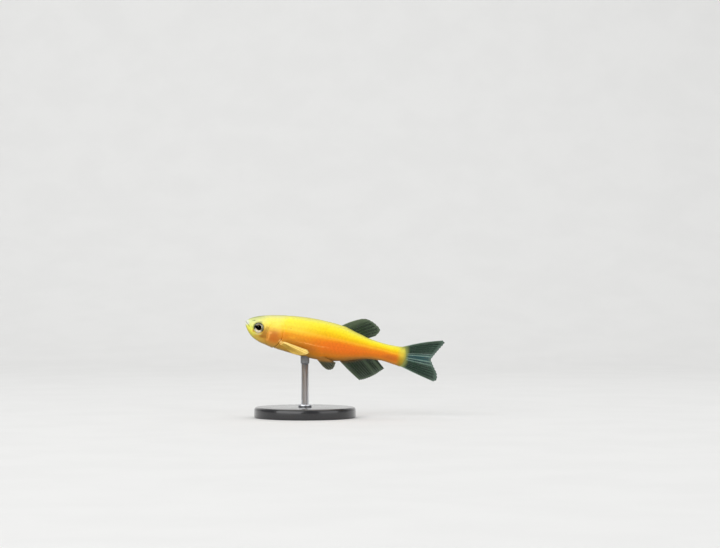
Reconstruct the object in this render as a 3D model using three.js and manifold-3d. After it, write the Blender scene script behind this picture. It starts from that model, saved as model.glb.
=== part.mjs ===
// A life-size zebra danio, gliding with its head up, on a plain display stand.
// Millimetres, +Z up. The head points along -X and the fish's left side faces -Y.
// The body is drawn in its own frame: s runs back from the snout, h up from the snout, y to the fish's right.
// That frame is then pitched, head up, and lifted onto the rod.
// The origin is the middle of the base's underside.
import * as THREE from "three";
import { mergeVertices } from "three/addons/utils/BufferGeometryUtils.js";
import Module from "manifold-3d";

const wasm = await Module();
wasm.setup();

// Driving sizes
const BODY_LENGTH = 34; // snout to the root of the tail fin
const PITCH = 12.2; // degrees, head up
const GAP = 0.3; // between neighbouring pieces
const BODY_RINGS = 46;
const BODY_SIDES = 32;
const RING_CROWDING = 1.7; // above 1, the rings stand closer towards the snout
const MEMBRANE = 0.5; // thickness of a fin between its rays
const FIN_EDGE = 0.24; // thickness of the membrane at the tips of the rays
const FULL_TO = 0.72; // share of a ray's length, from its root, along which the membrane keeps its thickness
const RAY_RIDGE = 0.09; // how far a ray stands out of the membrane on each face, at its root
const RAY_FOOT = 0.24; // half the width of a ray, as a share of the space between two rays
const FAR = 6; // past the body's outline on every side
const BASE_RADIUS = 10.5;
const BASE_HEIGHT = 2.2;
const ROD_RADIUS = 0.75;
const BELLY_CLEARANCE = 10.3; // base to belly, along the rod

// The body's outline: distance behind the snout, height of the back, height of the belly, half width
const OUTLINE = [
  [0, 0.12, 0.12, 0],
  [0.35, 0.62, -0.82, 0.55],
  [1, 1.12, -1.74, 0.93],
  [2.2, 1.74, -2.76, 1.36],
  [4, 2.34, -3.46, 1.73],
  [6.4, 2.9, -3.84, 2.0],
  [9, 3.34, -4.14, 2.16],
  [13, 3.74, -4.42, 2.27],
  [17, 3.76, -4.38, 2.12],
  [20, 3.52, -3.92, 1.84],
  [23, 2.72, -2.96, 1.46],
  [26, 2.12, -2.06, 1.14],
  [29, 1.8, -1.8, 0.9],
  [32, 1.82, -2.08, 0.66],
  [34, 2.06, -2.26, 0.42],
];
const WIDEST = 0.55; // height of the widest point, as a share of the depth
const HEAD_SQUARE = 2.5; // section exponent on the head, whose roof is flat
const BODY_SQUARE = 2.05; // section exponent on the body

const COLOURS = {
  yellow: 0xf2dc3a,
  orange: 0xe87a1e,
  cheek: 0xd9963a,
  eye: 0x16140f,
  fin: 0x4f6a5c,
  pectoral: 0xe0c566,
  base: 0x1b1c1e,
  rod: 0xb9bcc0,
};

// A smooth curve through one column of the outline, eased by the square root of s so that the snout is round.
function profile(column) {
  const at = OUTLINE.map((row) => Math.sqrt(row[0]));
  const value = OUTLINE.map((row) => row[column]);
  const last = at.length - 1;
  const slope = at.map((_, i) => {
    const a = Math.max(i - 1, 0);
    const b = Math.min(i + 1, last);
    return (value[b] - value[a]) / (at[b] - at[a]);
  });
  return (s) => {
    const t = Math.sqrt(Math.min(Math.max(s, 0), BODY_LENGTH));
    let i = 0;
    while (i < last - 1 && t > at[i + 1]) i += 1;
    const width = at[i + 1] - at[i];
    const u = (t - at[i]) / width;
    return (
      value[i] * (1 + 2 * u) * (1 - u) ** 2 +
      value[i + 1] * (3 - 2 * u) * u ** 2 +
      width * (slope[i] * u * (1 - u) ** 2 - slope[i + 1] * u ** 2 * (1 - u))
    );
  };
}

const backAt = profile(1);
const bellyAt = profile(2);
const halfWidthAt = profile(3);
const widestAt = (s) => bellyAt(s) + WIDEST * (backAt(s) - bellyAt(s));
const squareAt = (s) =>
  BODY_SQUARE + (HEAD_SQUARE - BODY_SQUARE) * Math.exp(-((s / 7) ** 2));

// How far the side of the body stands from the mid-plane at a height.
function sideAt(s, h) {
  const middle = widestAt(s);
  const reach = h > middle ? backAt(s) - middle : middle - bellyAt(s);
  const share = Math.min(Math.abs(h - middle) / reach, 1);
  const n = squareAt(s);
  return halfWidthAt(s) * (1 - share ** n) ** (1 / n);
}

// Closed solids from geometry and back. A surface that comes inside out is turned to face outwards.
function solidFrom(geometry) {
  const loose = geometry.index ? geometry.toNonIndexed() : geometry.clone();
  loose.deleteAttribute("normal");
  loose.deleteAttribute("uv");
  const merged = mergeVertices(loose, 1e-4);
  const vertProperties = merged.attributes.position.array;
  const closed = (triVerts) =>
    new wasm.Manifold(new wasm.Mesh({ numProp: 3, vertProperties, triVerts }));
  const faces = new Uint32Array(merged.index.array);
  const solid = closed(faces);
  return solid.volume() > 0 ? solid : closed(faces.slice().reverse());
}

function geometryFrom(solid) {
  const { numProp, vertProperties, triVerts } = solid.getMesh();
  const count = vertProperties.length / numProp;
  const points = new Float32Array(count * 3);
  for (let i = 0; i < count; i += 1) {
    points.set(vertProperties.subarray(i * numProp, i * numProp + 3), i * 3);
  }
  const geometry = new THREE.BufferGeometry();
  geometry.setAttribute("position", new THREE.BufferAttribute(points, 3));
  geometry.setIndex(new THREE.BufferAttribute(triVerts, 1));
  geometry.computeVertexNormals();
  return geometry;
}

const largestOf = (solid) =>
  solid.decompose().sort((a, b) => b.volume() - a.volume())[0];

function meshFrom(points, faces) {
  const geometry = new THREE.BufferGeometry();
  geometry.setAttribute(
    "position",
    new THREE.Float32BufferAttribute(points.flat(), 3),
  );
  geometry.setIndex(faces.flat());
  return geometry;
}

// The whole body, or one that stands a little outside or inside it
function bodySkin(offset = 0) {
  const points = [[-offset, 0, OUTLINE[0][1]]];
  const faces = [];
  for (let i = 1; i <= BODY_RINGS; i += 1) {
    const s = BODY_LENGTH * (i / BODY_RINGS) ** RING_CROWDING;
    const x = -offset + (s * (BODY_LENGTH + 2 * offset)) / BODY_LENGTH;
    const middle = widestAt(s);
    const n = squareAt(s);
    for (let k = 0; k < BODY_SIDES; k += 1) {
      const angle = (2 * Math.PI * k) / BODY_SIDES;
      const up = Math.cos(angle);
      const out = Math.sin(angle);
      const reach = (up > 0 ? backAt(s) - middle : middle - bellyAt(s)) + offset;
      points.push([
        x,
        Math.sign(out) * Math.abs(out) ** (2 / n) * (halfWidthAt(s) + offset),
        middle + Math.sign(up) * Math.abs(up) ** (2 / n) * reach,
      ]);
    }
  }
  const end = points.length;
  points.push([BODY_LENGTH + offset, 0, widestAt(BODY_LENGTH)]);
  for (let k = 0; k < BODY_SIDES; k += 1) {
    const next = (k + 1) % BODY_SIDES;
    faces.push([0, 1 + next, 1 + k]);
    for (let i = 0; i < BODY_RINGS - 1; i += 1) {
      const here = 1 + i * BODY_SIDES;
      const there = here + BODY_SIDES;
      faces.push([here + k, here + next, there + next]);
      faces.push([here + k, there + next, there + k]);
    }
    const rim = end - BODY_SIDES;
    faces.push([rim + k, rim + next, end]);
  }
  return solidFrom(meshFrom(points, faces));
}

// A block whose side view is the given outline, from one y to another
function prism(outline, low = -FAR, high = FAR) {
  const shape = new THREE.Shape(outline.map(([s, h]) => new THREE.Vector2(s, h)));
  const block = new THREE.ExtrudeGeometry(shape, {
    depth: high - low,
    bevelEnabled: false,
  });
  block.rotateX(Math.PI / 2);
  block.translate(0, high, 0);
  return solidFrom(block);
}

// A closed outline, listed anticlockwise, with every edge moved out by a distance
const SHARPEST = 0.4; // limits how far a sharp corner is moved

function grown(outline, distance) {
  return outline.map((corner, i) => {
    const before = outline[(i + outline.length - 1) % outline.length];
    const after = outline[(i + 1) % outline.length];
    const into = new THREE.Vector2(corner[0] - before[0], corner[1] - before[1]);
    const out = new THREE.Vector2(after[0] - corner[0], after[1] - corner[1]);
    into.normalize();
    out.normalize();
    const normal = new THREE.Vector2(into.y + out.y, -into.x - out.x).normalize();
    const square = Math.max(normal.x * into.y - normal.y * into.x, SHARPEST);
    const reach = distance / square;
    return [corner[0] + normal.x * reach, corner[1] + normal.y * reach];
  });
}

function ellipsoid(centre, radii, across = 16, around = 12) {
  const ball = new THREE.SphereGeometry(1, across, around);
  ball.scale(...radii);
  ball.translate(...centre);
  return solidFrom(ball);
}

// A round bar through points, thinner towards its end
function taperedBar(points, rootRadius, tipRadius, sides = 6) {
  const path = new THREE.CatmullRomCurve3(
    points.map((point) => new THREE.Vector3(...point)),
  );
  const steps = points.length * 2;
  const frames = path.computeFrenetFrames(steps, false);
  const vertices = [path.getPointAt(0).toArray()];
  const faces = [];
  for (let i = 0; i <= steps; i += 1) {
    const centre = path.getPointAt(i / steps);
    const radius = rootRadius + (tipRadius - rootRadius) * (i / steps);
    for (let k = 0; k < sides; k += 1) {
      const angle = (2 * Math.PI * k) / sides;
      const spoke = centre
        .clone()
        .addScaledVector(frames.normals[i], Math.cos(angle) * radius)
        .addScaledVector(frames.binormals[i], Math.sin(angle) * radius);
      vertices.push(spoke.toArray());
    }
  }
  const tip = vertices.length;
  vertices.push(path.getPointAt(1).toArray());
  for (let k = 0; k < sides; k += 1) {
    const next = (k + 1) % sides;
    faces.push([0, 1 + next, 1 + k]);
    for (let i = 0; i < steps; i += 1) {
      const here = 1 + i * sides;
      const there = here + sides;
      faces.push([here + k, here + next, there + next]);
      faces.push([here + k, there + next, there + k]);
    }
    faces.push([tip - sides + k, tip - sides + next, tip]);
  }
  return solidFrom(meshFrom(vertices, faces));
}

const body = bodySkin();
const bodyWithGap = bodySkin(GAP);

// The mouth opens at the top of the snout and slants down to its corner. The lower jaw is the wedge under it.
const MOUTH_TIP = [0, 0.28];
const MOUTH_CORNER = [1.25, -0.74];
const JAW_THROAT = [2.35, -2.9];
const mouthSlope =
  (MOUTH_CORNER[1] - MOUTH_TIP[1]) / (MOUTH_CORNER[0] - MOUTH_TIP[0]);
const throatSlope =
  (JAW_THROAT[1] - MOUTH_CORNER[1]) / (JAW_THROAT[0] - MOUTH_CORNER[0]);
const BELOW_JAW = 4; // how far the jaw's wedge is drawn below the corner of the mouth
const jawOutline = [
  [-1, MOUTH_TIP[1] - mouthSlope],
  [-1, MOUTH_CORNER[1] - BELOW_JAW],
  [MOUTH_CORNER[0] - BELOW_JAW / throatSlope, MOUTH_CORNER[1] - BELOW_JAW],
  MOUTH_CORNER,
];
const jawRoom = prism(grown(jawOutline, GAP));

// One lip: a soft roll round the snout along the mouth, its middle a little above or below the slit
const LIP = { radius: 0.15, drop: 0.24, sunk: 0.06, front: 0.12, steps: 5 };

function lip(drop) {
  const height = (s) => MOUTH_TIP[1] + mouthSlope * s + drop;
  const side = (share, sign) => {
    const s = LIP.front + (MOUTH_CORNER[0] - LIP.front) * share;
    return [s, sign * Math.max(sideAt(s, height(s)) - LIP.sunk, 0), height(s)];
  };
  const shares = Array.from({ length: LIP.steps }, (_, i) => (i + 1) / LIP.steps);
  const left = shares.map((share) => side(share, -1)).reverse();
  const right = shares.map((share) => side(share, 1));
  const middle = [LIP.front, 0, height(LIP.front)];
  return taperedBar([...left, middle, ...right], LIP.radius, LIP.radius);
}

// The head ends at a round edge, and the gill covers lie flush with that edge.
const GILL_CENTRE = [3.9, -0.6];
const GILL_RADIUS = 4.3;
const GILL_SWEEP = 68; // degrees above and below level, which takes the edge past the back and the belly
const GILL_STEP = 6; // degrees
const COVER_SWEEP = [-52, 24]; // the part of the edge that belongs to the gill cover
const COVER_FRONT = [
  [7.3, 1.42],
  [6.4, 1.38],
  [5.6, 0.9],
  [5.15, 0.1],
  [4.95, -0.9],
  [4.8, -2],
  [4.95, -2.85],
  [5.4, -3.5],
];
const COVER_FRONT_STEPS = 16;
const COVER_THICKNESS = 0.5;
const COVER_PROUD = 0.12;
const COVER_FROM_MIDDLE = 0.5; // each cover stops this far from the mid-plane, under the throat

function gillArc(from, to, radius = GILL_RADIUS) {
  const steps = Math.ceil((to - from) / GILL_STEP);
  return Array.from({ length: steps + 1 }, (_, i) => {
    const angle = THREE.MathUtils.degToRad(from + ((to - from) * i) / steps);
    return [
      GILL_CENTRE[0] + radius * Math.cos(angle),
      GILL_CENTRE[1] + radius * Math.sin(angle),
    ];
  });
}

const edgeEnd = GILL_CENTRE[0] + GILL_RADIUS * Math.cos(THREE.MathUtils.degToRad(GILL_SWEEP));
const headOutline = [
  [-FAR, -FAR],
  [edgeEnd, -FAR],
  ...gillArc(-GILL_SWEEP, GILL_SWEEP),
  [edgeEnd, FAR],
  [-FAR, FAR],
];
const coverFront = new THREE.SplineCurve(
  COVER_FRONT.map(([s, h]) => new THREE.Vector2(s, h)),
);
const coverOutline = [
  ...gillArc(...COVER_SWEEP),
  ...coverFront.getSpacedPoints(COVER_FRONT_STEPS).map(({ x, y }) => [x, y]),
];

const coverShell = bodySkin(COVER_PROUD).subtract(
  bodySkin(COVER_PROUD - COVER_THICKNESS),
);
const coverBed = bodySkin(COVER_PROUD - COVER_THICKNESS - GAP);

// The two ends, across the fish, of a block that lies on one side of the mid-plane
const oneSide = (sign, inner) => (sign < 0 ? [-FAR, -inner] : [inner, FAR]);

const gillCover = (sign) =>
  largestOf(
    coverShell.intersect(prism(coverOutline, ...oneSide(sign, COVER_FROM_MIDDLE))),
  );

// The eyes: flattened globes with a raised rim round the pupil, set into sockets
const EYE = { s: 3.04, h: -0.46, radius: 1.08, depth: 0.62, sunk: 0.34 };
const PUPIL = { radius: 0.54, rim: 0.12, groove: 0.06, bulge: 0.05 };
const EYE_SIDES = 20;
const eyeSide = sideAt(EYE.s, EYE.h) - EYE.sunk;

function eye(sign) {
  const surface = (radius) => EYE.depth * Math.sqrt(1 - (radius / EYE.radius) ** 2);
  const rim = PUPIL.radius + PUPIL.rim;
  const back = [0, 0.6, 0.92].map((share) => EYE.radius * share);
  const front = [EYE.radius * 0.9, rim];
  const lens = [PUPIL.radius / 2, 0];
  const section = [
    ...back.map((radius) => [radius, -surface(radius)]),
    [EYE.radius, 0],
    ...front.map((radius) => [radius, surface(radius)]),
    [PUPIL.radius, surface(PUPIL.radius) - PUPIL.groove],
    ...lens.map((radius) => [radius, surface(radius) + PUPIL.bulge]),
  ];
  const globe = new THREE.LatheGeometry(
    section.map(([radius, z]) => new THREE.Vector2(radius, z)),
    EYE_SIDES,
  );
  if (sign < 0) globe.rotateX(Math.PI);
  globe.translate(EYE.s, sign * eyeSide, EYE.h);
  return solidFrom(globe);
}

function socket(sign) {
  const reach = EYE.radius + GAP;
  return ellipsoid(
    [EYE.s, sign * eyeSide, EYE.h],
    [reach, EYE.depth + GAP, reach],
    EYE_SIDES,
  );
}

// Two small pits on each side of the snout, in front of the eye
const NOSTRILS = [
  [1.55, 0.72],
  [1.89, 0.82],
];
const NOSTRIL_RADIUS = 0.17;

function nostrils(sign) {
  const radii = [NOSTRIL_RADIUS, NOSTRIL_RADIUS, NOSTRIL_RADIUS];
  const [front, rear] = NOSTRILS.map(([s, h]) =>
    ellipsoid([s, sign * sideAt(s, h), h], radii, 8, 6),
  );
  return front.add(rear);
}

// A barbel hangs from each corner of the mouth and lies back along the cheek: s, h, how far out from the skin
const BARBEL = [
  [1.1, -0.3, -0.3],
  [1.35, -0.5, 0.16],
  [1.9, -1.1, 0.26],
  [2.5, -1.9, 0.3],
];
const BARBEL_ROOT = 0.2; // radius
const BARBEL_TIP = 0.07;

function barbel(sign) {
  const points = BARBEL.map(([s, h, out]) => [s, sign * (sideAt(s, h) + out), h]);
  return taperedBar(points, BARBEL_ROOT, BARBEL_TIP);
}

function headSolid() {
  let head = body.intersect(prism(headOutline)).add(lip(LIP.drop)).subtract(jawRoom);
  for (const sign of [-1, 1]) {
    const across = oneSide(sign, COVER_FROM_MIDDLE - GAP);
    const coverRoom = prism(grown(coverOutline, GAP), ...across).subtract(coverBed);
    head = head
      .subtract(coverRoom)
      .subtract(socket(sign))
      .subtract(nostrils(sign))
      .add(barbel(sign).subtract(jawRoom));
  }
  return largestOf(head);
}

const lowerJawSolid = () =>
  largestOf(body.add(lip(-LIP.drop)).intersect(prism(jawOutline)));

// The trunk runs from the gill edge to the end of the anal fin, and the tail stalk on to the tail fin.
const STALK_START = 28.9;
const trunkOutline = [
  ...gillArc(-GILL_SWEEP, GILL_SWEEP, GILL_RADIUS + GAP),
  [edgeEnd, FAR],
  [STALK_START, FAR],
  [STALK_START, -FAR],
  [edgeEnd, -FAR],
];
const stalkOutline = [
  [STALK_START + GAP, -FAR],
  [BODY_LENGTH + FAR, -FAR],
  [BODY_LENGTH + FAR, FAR],
  [STALK_START + GAP, FAR],
];

// A fin: rays fan out from a root line to the fin's edge, as ridges in the membrane's own surface.
// lean curves the leading rays in their own plane, and bow sways the fin's two edges to opposite sides.
// place() turns a point of the fin's own plane (along, across, out) into the fish's frame.
function finSolid({ roots, tips, rays, rows = 6, lean = 0, bow = 0, place }) {
  const curve = (list) =>
    new THREE.SplineCurve(list.map(([a, b]) => new THREE.Vector2(a, b)));
  const rootLine = curve(roots);
  const tipLine = curve(tips);
  const stops = [0, RAY_FOOT, 1 - RAY_FOOT]; // a ray's crest, its foot and the next ray's foot
  const columns = (rays - 1) * stops.length;
  const faces = [];
  const points = [];
  const index = (i, j, face) => (i * (columns + 1) + j) * 2 + face;
  for (let i = 0; i <= rows; i += 1) {
    const u = i / rows;
    const thin = Math.max(u - FULL_TO, 0) / (1 - FULL_TO);
    const membrane = MEMBRANE + (FIN_EDGE - MEMBRANE) * thin;
    for (let j = 0; j <= columns; j += 1) {
      const stop = j % stops.length;
      const v = (Math.floor(j / stops.length) + stops[stop]) / (rays - 1);
      const from = rootLine.getPointAt(v);
      const to = tipLine.getPointAt(v);
      const ray = to.clone().sub(from);
      const sideways = new THREE.Vector2(-ray.y, ray.x);
      const at = from
        .clone()
        .addScaledVector(ray, u)
        .addScaledVector(sideways, lean * Math.sin(Math.PI * u) * (1 - v));
      const ridge = stop === 0 ? RAY_RIDGE * (1 - u / 2) : 0;
      const half = membrane / 2 + ridge;
      const out = bow * u * u * Math.cos(Math.PI * v);
      points.push(place(at.x, at.y, out + half), place(at.x, at.y, out - half));
    }
  }
  const quad = (a, b, c, d) => faces.push([a, b, c], [a, c, d]);
  for (let i = 0; i < rows; i += 1) {
    for (let j = 0; j < columns; j += 1) {
      quad(index(i, j, 0), index(i, j + 1, 0), index(i + 1, j + 1, 0), index(i + 1, j, 0));
      faces.push([index(i, j, 1), index(i + 1, j + 1, 1), index(i, j + 1, 1)]);
      faces.push([index(i, j, 1), index(i + 1, j, 1), index(i + 1, j + 1, 1)]);
    }
    const [a, b, c, d] = [0, columns].map((j) => [index(i, j, 0), index(i, j, 1)]).flat();
    const [e, f, g, h] = [0, columns]
      .map((j) => [index(i + 1, j, 0), index(i + 1, j, 1)])
      .flat();
    quad(b, a, e, f);
    quad(c, d, h, g);
  }
  for (let j = 0; j < columns; j += 1) {
    quad(index(0, j, 1), index(0, j + 1, 1), index(0, j + 1, 0), index(0, j, 0));
    quad(index(rows, j, 0), index(rows, j + 1, 0), index(rows, j + 1, 1), index(rows, j, 1));
  }
  return largestOf(solidFrom(meshFrom(points, faces)).subtract(bodyWithGap));
}

const midPlane = (s, h, out) => [s, out, h];

// How deep a fin's root line is drawn inside the body before the body's room is cut from it
const ROOT_SUNK = 0.7;

const dorsalFin = () =>
  finSolid({
    roots: [19.05, 20.9, 22.7, 24.6].map((s) => [s, backAt(s) - ROOT_SUNK]),
    tips: [
      [23.5, 5.8],
      [24.6, 5.94],
      [26.2, 5.45],
      [27.6, 4.35],
      [27, 2.95],
    ],
    rays: 9,
    lean: 0.04,
    bow: 0.25,
    place: midPlane,
  });

const analFin = () =>
  finSolid({
    roots: [20.2, 22.6, 25, 27.4].map((s) => [s, bellyAt(s) + ROOT_SUNK]),
    tips: [
      [25.6, -6.7],
      [26.75, -6.2],
      [28.2, -5.2],
      [29.3, -4.15],
      [30.1, -3.3],
    ],
    rays: 14,
    lean: -0.02,
    bow: -0.3,
    place: midPlane,
  });

// The tail fin's two lobes, with rays fanning from the end of the tail stalk
const TAIL_ROOT = BODY_LENGTH - 0.1;
const TAIL_MIDDLE = 0.06;

const tailLobe = (roots, tips, lean) =>
  finSolid({ roots, tips, rays: 9, rows: 7, lean, bow: 0.35, place: midPlane });

const upperTailLobe = () =>
  tailLobe(
    [
      [TAIL_ROOT - 0.5, 2.1],
      [TAIL_ROOT, 1.2],
      [TAIL_ROOT, TAIL_MIDDLE + GAP / 2],
    ],
    [
      [40.75, 4.92],
      [41.2, 4.5],
      [40.55, 3.3],
      [39.75, 1.88],
      [39.1, 0.72],
    ],
    0.03,
  );

const lowerTailLobe = () =>
  tailLobe(
    [
      [TAIL_ROOT - 0.5, -2.24],
      [TAIL_ROOT, -1.2],
      [TAIL_ROOT, TAIL_MIDDLE - GAP / 2],
    ],
    [
      [40.6, -3.76],
      [41.2, -3.3],
      [41, -2.1],
      [40.05, -0.8],
      [39.15, 0.72 - GAP * 1.05],
    ],
    -0.01,
  );

// A paired fin lies in a plane set by its root, the way its leading ray points and the way it spreads.
function pairedPlane(root, along, across, sign) {
  const origin = new THREE.Vector3(root[0], sign * root[1], root[2]);
  const a = new THREE.Vector3(along[0], sign * along[1], along[2]).normalize();
  const b = new THREE.Vector3(across[0], sign * across[1], across[2]);
  b.addScaledVector(a, -b.dot(a)).normalize();
  const normal = new THREE.Vector3().crossVectors(a, b).multiplyScalar(sign);
  return (x, y, out) =>
    origin
      .clone()
      .addScaledVector(a, x)
      .addScaledVector(b, y)
      .addScaledVector(normal, out)
      .toArray();
}

const PECTORAL_ROOT = { s: 8.75, h: -2.2 };

const pectoralFin = (sign) =>
  finSolid({
    roots: [
      [-0.5, 0],
      [-0.4, 0.55],
      [-0.25, 1],
    ],
    tips: [
      [5.3, 0.02],
      [5.7, 0.5],
      [5.1, 1.15],
      [4, 1.6],
      [2.5, 1.75],
    ],
    rays: 9,
    bow: 0.12,
    place: pairedPlane(
      [
        PECTORAL_ROOT.s,
        sideAt(PECTORAL_ROOT.s, PECTORAL_ROOT.h) + 0.25,
        PECTORAL_ROOT.h,
      ],
      [1, 0.16, -0.13],
      [-0.2, 0.42, -1],
      sign,
    ),
  });

const PELVIC_ROOT = { s: 15.9, y: 0.78 };

const pelvicFin = (sign) =>
  finSolid({
    roots: [
      [-0.5, 0],
      [-0.2, 0.6],
      [0.35, 1.2],
    ],
    tips: [
      [2.4, 0.02],
      [3.25, 0.3],
      [3.8, 0.85],
      [4, 1.7],
      [3.55, 2.7],
    ],
    rays: 7,
    rows: 5,
    bow: 0.1,
    place: pairedPlane(
      [PELVIC_ROOT.s, PELVIC_ROOT.y, bellyAt(PELVIC_ROOT.s) + 0.35],
      [1, 0.24, -0.85],
      [0.62, 0.38, 1],
      sign,
    ),
  });

// The fish's frame in the part's: pitched head up, with the rod under its middle
const ROD_MEETS = 13.6;
const fish = new THREE.Group();
fish.rotation.y = THREE.MathUtils.degToRad(PITCH);
fish.updateMatrix();
const meeting = new THREE.Vector3(ROD_MEETS, 0, bellyAt(ROD_MEETS));
meeting.applyMatrix4(fish.matrix);
fish.position.set(-meeting.x, 0, BASE_HEIGHT + BELLY_CLEARANCE - meeting.z);
fish.updateMatrix();

// A plain disc with an eased top edge, and a bar that reaches up to the belly
function standBase() {
  const ease = 0.5;
  return solidFrom(
    new THREE.LatheGeometry(
      [
        new THREE.Vector2(0, 0),
        new THREE.Vector2(BASE_RADIUS, 0),
        new THREE.Vector2(BASE_RADIUS, BASE_HEIGHT - ease),
        new THREE.Vector2(BASE_RADIUS - ease * 0.3, BASE_HEIGHT - ease * 0.3),
        new THREE.Vector2(BASE_RADIUS - ease, BASE_HEIGHT),
        new THREE.Vector2(0, BASE_HEIGHT),
      ],
      48,
    ).rotateX(Math.PI / 2),
  );
}

function standRod() {
  const height = BELLY_CLEARANCE + 2;
  const bar = new THREE.CylinderGeometry(ROD_RADIUS, ROD_RADIUS, height, 20);
  bar.rotateX(Math.PI / 2);
  bar.translate(0, 0, BASE_HEIGHT + GAP + height / 2);
  const room = geometryFrom(bodyWithGap).applyMatrix4(fish.matrix);
  return largestOf(solidFrom(bar).subtract(solidFrom(room)));
}

function piece(name, solid, colour, roughness = 0.45, metalness = 0) {
  const mesh = new THREE.Mesh(
    geometryFrom(solid),
    new THREE.MeshStandardMaterial({ color: colour, roughness, metalness }),
  );
  mesh.name = name;
  return mesh;
}

fish.add(
  piece("head", headSolid(), COLOURS.yellow),
  piece("lower_jaw", lowerJawSolid(), COLOURS.yellow),
  piece("trunk", largestOf(body.intersect(prism(trunkOutline))), COLOURS.orange),
  piece("tail_stalk", largestOf(body.intersect(prism(stalkOutline))), COLOURS.yellow),
  piece("fin_dorsal", dorsalFin(), COLOURS.fin),
  piece("fin_anal", analFin(), COLOURS.fin),
  piece("fin_tail_upper", upperTailLobe(), COLOURS.fin),
  piece("fin_tail_lower", lowerTailLobe(), COLOURS.fin),
);
for (const [side, sign] of [["left", -1], ["right", 1]]) {
  fish.add(
    piece(`gill_cover_${side}`, gillCover(sign), COLOURS.cheek),
    piece(`eye_${side}`, eye(sign), COLOURS.eye, 0.1),
    piece(`fin_pectoral_${side}`, pectoralFin(sign), COLOURS.pectoral),
    piece(`fin_pelvic_${side}`, pelvicFin(sign), COLOURS.fin),
  );
}

const model = new THREE.Group();
model.add(
  fish,
  piece("stand_base", standBase(), COLOURS.base, 0.3),
  piece("stand_rod", standRod(), COLOURS.rod, 0.25, 1),
);

export default model;
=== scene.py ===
import math

import bmesh
import bpy
import numpy as np
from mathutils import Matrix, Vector


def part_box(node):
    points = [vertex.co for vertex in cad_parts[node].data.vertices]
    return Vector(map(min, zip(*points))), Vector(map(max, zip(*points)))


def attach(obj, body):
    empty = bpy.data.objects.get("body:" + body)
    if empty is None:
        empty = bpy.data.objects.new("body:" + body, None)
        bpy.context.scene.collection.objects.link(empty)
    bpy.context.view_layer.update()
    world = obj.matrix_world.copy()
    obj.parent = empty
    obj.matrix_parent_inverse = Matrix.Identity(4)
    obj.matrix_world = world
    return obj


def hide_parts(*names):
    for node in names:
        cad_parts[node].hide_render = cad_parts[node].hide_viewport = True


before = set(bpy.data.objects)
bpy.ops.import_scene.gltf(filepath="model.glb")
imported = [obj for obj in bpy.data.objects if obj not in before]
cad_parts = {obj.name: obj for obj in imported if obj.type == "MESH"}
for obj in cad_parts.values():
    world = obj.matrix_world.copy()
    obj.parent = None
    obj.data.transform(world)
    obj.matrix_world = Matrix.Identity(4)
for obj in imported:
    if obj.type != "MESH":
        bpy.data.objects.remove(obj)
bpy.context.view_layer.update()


# The base of the stand is a disc of black acrylic, turned and polished, with an eased top edge.
# It is made as a turned outline, with a fine haze of dust in its gloss.
MM = 0.001
BASE_EASE = 0.6 * MM
FOOT_EASE = 0.2 * MM
BASE_SIDES = 144
DUST = 900.0  # how fine a pattern is: the waves of its noise in a metre
base_low, base_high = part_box("stand_base")
BASE_RADIUS = (base_high.x - base_low.x) / 2
BASE_TOP = base_high.z


def placed(name, data):
    made = bpy.data.objects.new(name, data)
    bpy.context.scene.collection.objects.link(made)
    return made


def mesh_object(name, points, faces):
    mesh = bpy.data.meshes.new(name)
    mesh.from_pydata([tuple(point) for point in points], [], faces)
    mesh.validate()
    mesh.polygons.foreach_set("use_smooth", [True] * len(mesh.polygons))
    return placed(name, mesh)


def around(sides):
    return [2 * math.pi * k / sides for k in range(sides)]


def ring_faces(rings, sides):
    """The faces of a closed body whose points are one end, rings of points, and the other end."""
    faces = []
    last = 1 + (rings - 1) * sides
    for k in range(sides):
        after = (k + 1) % sides
        faces.append((0, 1 + after, 1 + k))
        for here in range(1, last, sides):
            there = here + sides
            faces.append((here + k, here + after, there + after, there + k))
        faces.append((last + k, last + after, last + sides))
    return faces


def turned_over(faces):
    """The same faces, looking the other way."""
    return [(face[0], *face[:0:-1]) for face in faces]


def turned(name, outline, sides):
    """A body turned about the vertical axis from (radius, height) pairs that start and end on the axis."""
    points = [(0, 0, outline[0][1])]
    for radius, height in outline[1:-1]:
        points += [(radius * math.cos(a), radius * math.sin(a), height) for a in around(sides)]
    points.append((0, 0, outline[-1][1]))
    return mesh_object(name, points, ring_faces(len(outline) - 2, sides))


def rounded(radius, height, ease, start, end, steps=8):
    """A round at the edge of a turned piece, about a middle, from one angle to another in degrees."""
    turn = [math.radians(start + (end - start) * i / steps) for i in range(steps + 1)]
    return [(radius + ease * math.cos(a), height + ease * math.sin(a)) for a in turn]


def material(name, **sockets):
    """A material whose shader has these values, with its node tree and its shader."""
    made = bpy.data.materials.new(name)
    made.use_nodes = True
    shader = made.node_tree.nodes["Principled BSDF"]
    for socket, value in sockets.items():
        shader.inputs[socket.replace("_", " ")].default_value = value
    return made, made.node_tree, shader


def join(node_made, inputs):
    """Sets a node's inputs by name or number, each to a value or to another node's output."""
    for name, value in inputs.items():
        if isinstance(value, bpy.types.NodeSocket):
            node_made.id_data.links.new(value, node_made.inputs[name])
        else:
            node_made.inputs[name].default_value = value


def node(tree, kind, inputs=None, **settings):
    made = tree.nodes.new(kind)
    for name, value in settings.items():
        setattr(made, name, value)
    join(made, inputs or {})
    return made


def place_on(tree):
    return node(tree, "ShaderNodeTexCoord").outputs["Object"]


def noise(tree, vector, scale, detail):
    made = node(tree, "ShaderNodeTexNoise", {"Vector": vector, "Scale": scale, "Detail": detail})
    return made.outputs["Fac"]


def spread(tree, share, low, high):
    """A share from 0 to 1 as a value from low to high."""
    made = node(tree, "ShaderNodeMapRange", {"Value": share, "To Min": low, "To Max": high})
    return made.outputs["Result"]


def bumped(tree, height, strength, distance):
    made = node(
        tree, "ShaderNodeBump", {"Height": height, "Strength": strength, "Distance": distance}
    )
    return made.outputs["Normal"]


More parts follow.
